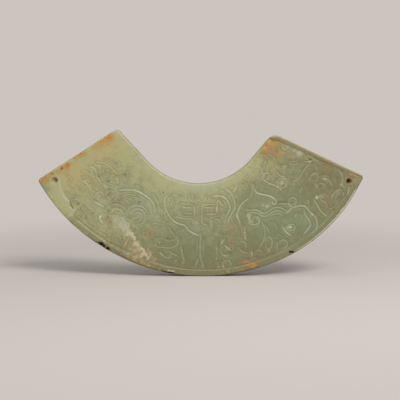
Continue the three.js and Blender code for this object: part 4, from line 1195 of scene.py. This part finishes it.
# How the colours lie on the slab
paint = {
    # how much of each class shows on the wall and the back
    "runThrough": {"rust": 0.8, "ochre": 0.9, "tan": 0.5, "cream": 0.6, "lens": 0.6, "milk": 0.35,
                   "soil": 0.3, "speck": 0.6},
    "faceGain": 2.5, "faceStart": 0.2,          # how fast the face's colours fade out round the edge
    "smooth": ("rust", "soil", "stain", "tan", "ochre", "lens", "cream", "polish"),
    "crispStart": 1.35, "crispFall": 0.85,      # the other classes are full near the middle, then fall
    "faceOnly": ("speck", "stain"),             # classes that fade on the wall, in mm before its middle
    "faceStop": 1.2, "faceSoft": 0.8,
    "toneTop": 0.95, "toneFall": 0.95, "tonePower": 0.8,    # paler towards the upper edge
    "toneLean": 0.22,                                       # and towards the left end
    # where the wall's painted shade begins below the faces, and how soft it is
    "wallFrom": 0.1 * mm, "wallSoft": 0.4 * mm,
    # shares of the thickness, and how much painted light the left hole's wall gets there, paler deep inside
    # where it lies in shade
    "deepWall": ((0.15, 0.35, 0.7, 0.85), (0, 1, 1, 0)),
    # distance from the edge and half width of the painted highlights: the sheen and the rims of the lower
    # edge and the saw step
    "sheenBand": (1.1 * mm, 1.4 * mm), "wornBand": (0.46 * mm, 0.19 * mm), "stepBand": (0.15 * mm, 0.3 * mm),
    # shares of the length, and how strong the painted sheen and the lower rim's painted highlight are there
    "sheenAlong": ((0.2, 0.25, 0.33, 0.42, 0.5, 0.6, 0.68), (0, 0.6, 0.3, 0.3, 0.8, 0.4, 0)),
    "wornAlong": ((0.74, 0.82, 0.97, 0.99), (0, 0.75, 1, 0)),
    "wornReach": 2,                             # the painted rim highlight stays within so many mm of the lower edge
    "stepRimShare": 0.8, "stepSoft": 0.2 * mm,
    # distance from the saw step's edge and half width of the dull strip and the dark foot
    "dullBand": (0.25 * mm, 0.4 * mm), "footBand": (0.0, 0.22 * mm),
}


def crisp(far):
    return np.clip(paint["crispStart"] - paint["crispFall"] * far, 0, 1)


def smooth(far):
    return np.exp(-far ** 2)


def blobField(points, blobs, falloff):  # strongest of the round patches at each point
    value = np.zeros(len(points))
    for px, py, radius, strength in blobs:
        value = np.maximum(value, strength * falloff(sharesOut(points, px, py, radius)))
    return value


def streakField(points, runs):
    value = np.zeros(len(points))
    for half, strength, run in runs:
        value = np.maximum(value, strength * crisp(toPolyline(points, run) / (half * photo["pixel"])))
    return value


# Broad zones of the stone: pixel x, pixel y, radius in pixels, strength
zones = {
    # Lighter and darker swells of tone
    "tone": [
        (200, 188, 22, 0.2), (168, 178, 16, 0.25), (110, 150, 26, 0.2), (56, 196, 16, 0.7),
        (124, 224, 12, 0.3), (146, 250, 12, 0.2), (240, 176, 16, 0.1), (256, 162, 14, 0.15),
        (66, 170, 18, 0.9), (90, 152, 12, 0.3), (128, 148, 12, 0.25), (140, 168, 12, 0.12),
        (236, 188, 10, 0.15), (284, 154, 12, -0.1), (332, 180, 20, -0.95), (292, 158, 14, -0.2),
        (262, 236, 30, -0.2), (190, 262, 30, -0.15), (92, 232, 16, 0.1), (166, 252, 16, -0.1),
        (140, 204, 20, 0.25), (300, 176, 18, -0.2), (344, 197, 9, -0.15), (281, 183, 6, 0.2),
        (84, 190, 24, 0.35), (92, 212, 18, 0.45), (110, 232, 14, 0.3), (246, 190, 14, -0.3),
        (276, 190, 16, -0.25), (222, 208, 12, -0.15), (200, 255, 20, -0.1), (270, 148, 12, -0.5),
        (68, 210, 10, 0.4), (356, 178, 8, 0.65), (351, 187, 5, 0.3),
    ],
    # Warm, iron-stained zones
    "warm": [
        (104, 146, 24, 0.9), (68, 170, 22, 1.2), (80, 180, 20, 0.8), (58, 192, 18, 0.5),
        (112, 174, 14, 0.4), (270, 150, 14, 1.7), (292, 156, 16, 0.6), (330, 178, 26, 0.6),
        (333, 212, 16, 0.7), (110, 246, 18, 0.9), (146, 258, 16, 1.1), (250, 264, 14, 1.4),
        (180, 270, 14, 0.5), (214, 271, 14, 0.5), (230, 232, 14, 0.4), (240, 172, 14, 0.3),
        (256, 162, 14, 0.4), (116, 214, 12, 0.3), (150, 234, 10, 0.5), (262, 254, 18, 0.4),
        (356, 178, 10, 1.0), (86, 232, 18, 0.8), (208, 208, 8, 0.3), (300, 244, 14, 0.2),
        (68, 210, 12, 0.6), (328, 162, 16, 0.9), (322, 196, 18, 0.4), (160, 160, 14, 0.3),
    ],
    # Clear green zones
    "green": [
        (270, 228, 18, 1), (298, 222, 14, 1), (254, 220, 12, 0.9), (140, 197, 12, 0.3),
        (200, 244, 18, 0.5), (188, 230, 12, 0.7), (284, 240, 14, 0.8), (240, 216, 10, 0.7),
        (170, 246, 12, 0.5), (260, 196, 12, 0.6), (285, 206, 12, 0.8), (304, 210, 12, 0.9),
        (312, 226, 8, 0.8), (262, 186, 10, 0.4), (246, 202, 8, 0.6), (198, 216, 12, 0.5),
        (276, 196, 10, 0.5), (292, 192, 8, 0.5), (134, 192, 8, 0.4),
    ],
    # Paler, bluer zones
    "mint": [
        (140, 206, 13, 0.9), (151, 214, 8, 0.8), (94, 207, 9, 0.8), (100, 222, 8, 0.7),
        (122, 189, 9, 0.4), (118, 224, 7, 0.5), (290, 147, 5, 0.7), (299, 152, 5, 0.7),
        (195, 228, 9, 0.5), (222, 221, 6, 0.5), (262, 215, 12, 0.35), (308, 220, 9, 0.35),
        (197, 190, 12, 0.3), (106, 200, 6, 0.5), (128, 214, 7, 0.6), (288, 226, 8, 0.4),
        (270, 204, 8, 0.4), (82, 222, 7, 0.4), (156, 228, 8, 0.5), (118, 240, 5, 0.4),
    ],
}


def paintPatches(mesh, sides):
    points = coordinates(mesh)
    half = slab["thickness"] / 2
    onFace = np.clip(-points[:, 1] / half * paint["faceGain"] + paint["faceStart"], 0, 1)

    def toSide(line):
        nearest = np.full(len(points), 1.0)
        for x, z in line[::2]:
            nearest = np.minimum(nearest, farFrom(points, x, z))
        return nearest

    def band(values, name):  # strongest at the band's middle, and only on the face
        middle, wide = paint[name]
        return np.exp(-((values - middle) / wide) ** 2) * onFace

    # Tone and broad zones
    fromUpper, fromLower = toSide(sides["upper"]), toSide(sides["lower"])
    across = fromUpper / (fromUpper + fromLower)
    along = (points[:, 0] - slabLow.x) / (slabHigh.x - slabLow.x)
    tone = paint["toneTop"] - paint["toneFall"] * across ** paint["tonePower"]
    tone += paint["toneLean"] * (0.5 - along)
    for px, py, radius, amount in zones["tone"]:
        tone += amount * smooth(sharesOut(points, px, py, radius))
    setAttribute(mesh, "tone", tone)
    for name in ("warm", "green", "mint"):
        setAttribute(mesh, name, blobField(points, zones[name], smooth))
    # painted shade: the wall is darkened towards the deep green, as the lamps light it more than the face
    wall = np.clip((half - paint["wallFrom"] - np.abs(points[:, 1])) / paint["wallSoft"], 0, 1)
    setAttribute(mesh, "wall", wall)

    # Patches and streaks
    for name in sorted({*patches, *streaks}):
        falloff = smooth if name in paint["smooth"] else crisp
        blobs = blobField(points, patches.get(name, ()), falloff)
        value = np.maximum(blobs, streakField(points, streaks.get(name, ())))
        if name in paint["faceOnly"]:
            value = value * np.clip(-(points[:, 1] / mm + paint["faceStop"]) / paint["faceSoft"], 0, 1)
        setAttribute(mesh, name, value * (onFace + (1 - onFace) * paint["runThrough"].get(name, 0)))

    # Holes, rims and saw step
    # hole walls: the right one a brown stain made darker as painted shade; the left one gets painted light
    # below
    for side in ("left", "right"):
        setAttribute(mesh, side + "Wall", inHole(points, side, sides))
    # painted light: the left hole's wall is paler deep inside, where it lies in shade
    setAttribute(mesh, "deepWall", np.interp(points[:, 1] / slab["thickness"] + 0.5, *paint["deepWall"]))
    fromEdge = np.empty(len(points))
    mesh.attributes["edge"].data.foreach_get("value", fromEdge)
    # painted highlight: the sheen, a paler band along the upper edge
    setAttribute(mesh, "sheen", band(fromUpper, "sheenBand") * np.interp(along, *paint["sheenAlong"]))
    # painted highlight: a pale line along the lower right rim
    lowerRim = np.interp(along, *paint["wornAlong"]) * np.clip(paint["wornReach"] - fromLower / mm, 0, 1)
    setAttribute(mesh, "wornRim", band(fromEdge, "wornBand") * lowerRim)
    stepIn = fromStep(points, sides)
    onStep = np.clip(-stepIn / paint["stepSoft"], 0, 1)
    # painted highlight: the outer lip of the saw step
    setAttribute(mesh, "stepRim", band(fromEdge, "stepBand") * onStep * paint["stepRimShare"])
    setAttribute(mesh, "stepFloor", onStep * onFace)
    setAttribute(mesh, "dull", band(stepIn, "dullBand"))
    setAttribute(mesh, "stepFoot", band(stepIn, "footBand"))


# Finish of the jade
jade = {
    # the stone, from light to dark
    "pale": (0.42, 0.43, 0.215), "mid": (0.285, 0.288, 0.14), "deep": (0.187, 0.196, 0.09),
    # its zones
    "cool": (0.26, 0.31, 0.17), "green": (0.19, 0.24, 0.12), "mint": (0.30, 0.34, 0.215),
    "warm": (0.50, 0.33, 0.12), "warmDeep": (0.24, 0.155, 0.06),
    # painted highlights: the sheen along the upper edge, and the crest colour of the threads, which are also
    # worn paler
    "sheen": (0.42, 0.45, 0.31), "crest": (0.45, 0.48, 0.30),
    # its patches
    "lens": (0.46, 0.46, 0.32), "cream": (0.58, 0.48, 0.285), "milk": (0.62, 0.56, 0.42),
    "glint": (0.58, 0.59, 0.39), "tan": (0.39, 0.25, 0.105), "ochre": (0.46, 0.26, 0.065),
    "rust": (0.42, 0.15, 0.01), "gold": (0.56, 0.31, 0.07), "rustDark": (0.17, 0.05, 0.005),
    "soil": (0.26, 0.175, 0.10), "pit": (0.14, 0.085, 0.04), "stain": (0.15, 0.10, 0.03),
    "speck": (0.02, 0.016, 0.01),
    # its edges, the saw step and the walls of the holes; the rim highlight and the step's lip are painted
    # highlights
    "wornRim": (0.62, 0.65, 0.47), "stepRim": (0.36, 0.30, 0.13), "stepFloor": (0.25, 0.20, 0.085),
    # the left hole's wall, darker at its lit front and paler deep inside as painted light, stands for a
    # shaded opening
    "stepFoot": (0.11, 0.08, 0.03), "leftWall": (0.33, 0.23, 0.145), "leftDeep": (0.90, 0.74, 0.53),
    # the right hole's wall: brown stain, made darker as painted shade so the bore reads dark
    "rightWall": (0.30, 0.16, 0.045),
    # noises: size, detail, roughness, seed, warp
    "clouds": (7 * mm, 5.0, 0.6, 1.0, 0.6), "mottle": (1.5 * mm, 4.0, 0.65, 2.0, 0.4),
    "grain": (0.4 * mm, 2.0, 0.6, 3.0, 0.0), "fleck": (0.9 * mm, 3.0, 0.7, 4.0, 0.0),
    "coolClouds": (3 * mm, 3.0, 0.6, 6.0, 0.5),
    # how far the noises swing the tone, and the tones between which one green turns into the next
    "cloudSwing": 0.9, "mottleSwing": 1.5, "grainSwing": 1.6,
    "deepToMid": (-0.1, 0.5), "midToPale": (0.4, 1.1),
    "coolFrom": (0.5, 0.66), "coolShare": 0.35,
    # attribute, colour and the most that is mixed in; sheen and ridge add painted highlight, ridge also wear;
    # wall and hollow add painted shade
    "layers": (
        ("green", "green", 0.7), ("mint", "mint", 0.7), ("sheen", "sheen", 0.8), ("wall", "deep", 0.55),
        ("ridge", "crest", 0.5), ("hollow", "deep", 0.3),
    ),
    "warmShare": 0.6, "warmBreak": (0.3, 0.7, 0.35, 1.0), "warmTones": (0.1, 0.8),
    # class, where its patches begin and are full, how far noise breaks them up, and the most that is mixed in
    "classes": (
        ("polish", 0.3, 0.9, 0.3, 0.55), ("lens", 0.25, 1.0, 0.5, 0.8), ("cream", 0.15, 1.0, 1.7, 0.85),
        ("ochre", 0.2, 1.0, 1.0, 0.75), ("tan", 0.2, 1.1, 0.9, 0.6), ("soil", 0.4, 1.1, 1.3, 0.6),
        ("milk", 0.4, 1.1, 0.8, 0.8), ("stain", 0.3, 1.0, 0.5, 0.8), ("glint", 0.2, 1.3, 0.5, 0.5),
        ("pit", 0.4, 1.2, 0.6, 0.5), ("wornRim", 0.15, 0.8, 0.5, 0.85), ("rust", 0.3, 1.1, 1.3, 0.85),
    ),
    "classFrom": 0.02,              # noise adds nothing where a class is weaker than this
    "goldFrom": (0.4, 0.62), "rustCore": (1.0, 1.4, 0.9), "rustCoreShare": 0.7, "speckEdge": (0.45, 0.8, 0.4),
    # gloss and depth
    "ior": 1.6, "subsurface": 0.15, "scatter": 0.8 * mm, "scatterColor": (1.0, 1.0, 0.6),
    "coat": 0.12, "coatRoughness": 0.18, "specular": 0.5, "pitDull": 0.7, "stepDull": 0.7,
    "roughness": 0.38, "roughSwing": 0.18, "soilRough": 0.18, "stepRough": 0.2,
    "edgeRough": (0.2 * mm, 0.9 * mm, 0.22, 0.0),
    "bumpStrength": 0.25, "bumpHeight": 0.03 * mm, "bumpGrain": 0.6,
}


def jadeFinish():
    material = bpy.data.materials.new("jade")
    material.use_nodes = True
    tree = material.node_tree
    tree.nodes.clear()
    feed, place, calc, ramp = treeTools(tree)
    plus, minus, times, most = chains(calc, "ADD", "SUBTRACT", "MULTIPLY", "MAXIMUM")
    where = place("ShaderNodeTexCoord").outputs["Object"]

    def attribute(name):
        return place("ShaderNodeAttribute", attribute_name=name).outputs["Fac"]

    def noise(name):
        size, detail, rough, seed, warp = jade[name]
        inputs = {"Vector": where, "W": seed, "Scale": 1 / size, "Detail": detail, "Roughness": rough,
                  "Distortion": warp}
        return place("ShaderNodeTexNoise", inputs, noise_dimensions="4D").outputs[0]

    def blend(share, *colors):
        node = place("ShaderNodeMix", {0: share}, data_type="RGBA", clamp_factor=True)
        for index, color in zip((6, 7), colors):
            feed(node.inputs[index], color if isinstance(color, bpy.types.NodeSocket) else (*color, 1))
        return node.outputs[2]

    def swing(value, amount):  # a noise turned into plus or minus half the amount
        return times(minus(value, 0.5), amount)

    clouds, mottle, grain, fleck = (noise(name) for name in ("clouds", "mottle", "grain", "fleck"))

    # The stone itself
    unevenTone = plus(swing(clouds, jade["cloudSwing"]), swing(mottle, jade["mottleSwing"]))
    tone = plus(attribute("tone"), unevenTone, swing(grain, jade["grainSwing"]))
    color = blend(ramp(tone, *jade["deepToMid"]), jade["deep"], jade["mid"])
    color = blend(ramp(tone, *jade["midToPale"]), color, jade["pale"])
    color = blend(times(ramp(noise("coolClouds"), *jade["coolFrom"]), jade["coolShare"]), color, jade["cool"])
    for name, shade, share in jade["layers"]:
        color = blend(times(attribute(name), share), color, jade[shade])
    warmShare = times(attribute("warm"), ramp(plus(mottle, swing(clouds, 1.0)), *jade["warmBreak"]))
    warmColor = blend(ramp(tone, *jade["warmTones"]), jade["warmDeep"], jade["warm"])
    color = blend(times(warmShare, jade["warmShare"]), color, warmColor)

    # Patches, broken up by noise
    def patch(name, low, high, breakUp):
        field = plus(attribute(name), plus(swing(mottle, breakUp), swing(fleck, breakUp)))
        return ramp(times(field, calc("GREATER_THAN", attribute(name), jade["classFrom"])), low, high)

    rustColor = blend(ramp(plus(fleck, swing(grain, 1.0)), *jade["goldFrom"]), jade["rust"], jade["gold"])
    for name, low, high, breakUp, share in jade["classes"]:
        shade = {"polish": jade["pale"], "rust": rustColor}.get(name) or jade[name]
        color = blend(times(patch(name, low, high, breakUp), share), color, shade)
    color = blend(times(patch("rust", *jade["rustCore"]), jade["rustCoreShare"]), color, jade["rustDark"])
    color = blend(patch("speck", *jade["speckEdge"]), color, jade["speck"])
    # painted light and shade in the left hole: darker at the lit front, paler deep inside
    leftWall = blend(attribute("deepWall"), jade["leftWall"], jade["leftDeep"])
    for name in ("leftWall", "rightWall", "stepFloor", "stepRim", "stepFoot"):
        color = blend(attribute(name), color, leftWall if name == "leftWall" else jade[name])

    # Gloss: soil, edges and the saw step are duller
    rough = plus(jade["roughness"], swing(grain, jade["roughSwing"]))
    rough = plus(rough, times(attribute("soil"), jade["soilRough"]))
    rough = plus(rough, times(attribute("stepFloor"), jade["stepRough"]))
    rough = plus(rough, ramp(attribute("edge"), *jade["edgeRough"]))
    dark = most(attribute("speck"), times(attribute("pit"), jade["pitDull"]))
    shine = calc("SUBTRACT", 1.0, most(dark, times(attribute("dull"), jade["stepDull"])), True)
    bumpHeight = plus(times(grain, jade["bumpGrain"]), mottle)
    bump = place("ShaderNodeBump", {"Strength": jade["bumpStrength"], "Distance": jade["bumpHeight"],
                                    "Height": bumpHeight})
    shader = place("ShaderNodeBsdfPrincipled", {
        "Base Color": color, "Roughness": rough, "Normal": bump.outputs[0], "IOR": jade["ior"],
        "Subsurface Weight": jade["subsurface"], "Subsurface Scale": jade["scatter"],
        "Subsurface Radius": jade["scatterColor"], "Specular IOR Level": times(shine, jade["specular"]),
        "Coat Weight": times(shine, jade["coat"]), "Coat Roughness": jade["coatRoughness"],
    })
    tree.links.new(shader.outputs[0], place("ShaderNodeOutputMaterial").inputs[0])
    return material


def buildPlaque():
    sides = slabSides()
    grid = slabGrid(sides)
    points = coordinates(grid)
    setAttribute(grid, "dent", pressedDents(points))
    setAttribute(grid, "saw", tracedBack(points))
    setAttribute(grid, "strip", insideOutline(points, strip["outline"], strip["soft"]))
    setAttribute(grid, "ledge", np.clip(0.5 - fromStep(points, sides) / sawStep["soft"], 0, 1))
    piece = addObject("jade_slab", grid)
    lines = {name: sideObject(name + "Line", sides[side]) for name, side in lineSides.items()}
    lines |= {name: strokeObject(name + "Lines", runs) for name, runs in strokes.items()}
    lines["hatch"] = strokeObject("hatchLines", crosshatch())
    modifier = piece.modifiers.new("relief", "NODES")
    modifier.node_group = reliefTree(lines)
    values = {"thickness": slab["thickness"], **relief, **lines, "finish": jadeFinish()}
    for socket in modifier.node_group.interface.items_tree:
        if socket.in_out == "INPUT" and socket.name in values:
            modifier[socket.identifier] = values[socket.name]
    applyModifiers(piece, "jade_slab")
    print("relief cut:", len(piece.data.polygons), "faces")
    for line in lines.values():
        bpy.data.objects.remove(line)
    drillHoles(piece, sides)
    print("holes drilled")
    thin = piece.modifiers.new("thin", "DECIMATE")
    thin.ratio = slab["triangles"] / (2 * len(piece.data.polygons))
    applyModifiers(piece, "jade_slab")
    print("slab thinned:", len(piece.data.polygons), "faces")
    paintPatches(piece.data, sides)
    piece.data.shade_smooth()
    print("colours laid on")
    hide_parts("jade_plaque")
    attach(piece, "root")


buildPlaque()
print("plaque ready")

# Floor, background and light
studio = {
    "floor": (0.62, 0.575, 0.535), "background": (0.60, 0.555, 0.52), "ambient": 0.34,
    "floorHalf": 1.5,
    "meets": (0.05, 0.22),          # from the middle, where the floor turns into the background
    # place, size and power of each lamp
    "lamps": {
        "key": ((0.22, -0.34, 0.42), 0.22, 2.0),
        "fill": ((-0.40, -0.45, 0.20), 0.40, 0.6),
        "top": ((0.0, -0.1, 0.55), 0.35, 0.45),
    },
}


def backgroundShare(place, calc):  # 1 where the camera, a reflection or a refraction looks
    path = place("ShaderNodeLightPath").outputs
    [most] = chains(calc, "MAXIMUM")
    return most(path["Is Camera Ray"], path["Is Glossy Ray"], path["Is Transmission Ray"])


def makeFloor():
    half = studio["floorHalf"]
    mesh = bpy.data.meshes.new("floor")
    corners = [(-half, -half, 0), (half, -half, 0), (half, half, 0), (-half, half, 0)]
    mesh.from_pydata(corners, [], [(0, 1, 2, 3)])
    floor = addObject("floor", mesh)
    material = bpy.data.materials.new("floor")
    material.use_nodes = True
    tree = material.node_tree
    tree.nodes.clear()
    _, place, calc, ramp = treeTools(tree)
    # the far floor takes the background's colour, the near floor keeps the shadow
    where = place("ShaderNodeTexCoord").outputs["Object"]
    length = place("ShaderNodeVectorMath", {0: where}, operation="LENGTH").outputs["Value"]
    far = calc("MULTIPLY", ramp(length, *studio["meets"]), backgroundShare(place, calc))
    near = place("ShaderNodeBsdfDiffuse", {"Color": (*studio["floor"], 1)})
    glow = place("ShaderNodeEmission", {"Color": (*studio["background"], 1), "Strength": 1.0})
    mix = place("ShaderNodeMixShader", {0: far, 1: near.outputs[0], 2: glow.outputs[0]})
    tree.links.new(mix.outputs[0], place("ShaderNodeOutputMaterial").inputs[0])
    mesh.materials.append(material)


def makeWorld():
    world = bpy.data.worlds.new("studio")
    bpy.context.scene.world = world
    world.use_nodes = True
    tree = world.node_tree
    tree.nodes.clear()
    _, place, calc, _ = treeTools(tree)
    seen = place("ShaderNodeBackground", {"Color": (*studio["background"], 1), "Strength": 1.0})
    light = place("ShaderNodeBackground", {"Color": (1, 1, 1, 1), "Strength": studio["ambient"]})
    shares = {0: backgroundShare(place, calc), 1: light.outputs[0], 2: seen.outputs[0]}
    mix = place("ShaderNodeMixShader", shares)
    tree.links.new(mix.outputs[0], place("ShaderNodeOutputWorld").inputs[0])


def makeLamps():
    aim = Vector((0, 0, slabHigh.z / 2))
    for name, (location, size, power) in studio["lamps"].items():
        data = bpy.data.lights.new(name, "AREA")
        data.size, data.energy = size, power
        lamp = addObject(name, data)
        lamp.location = location
        lamp.rotation_euler = (aim - lamp.location).to_track_quat("-Z", "Y").to_euler()


makeFloor()
makeWorld()
makeLamps()
bpy.context.scene.view_settings.view_transform = "Standard"
print("studio ready")
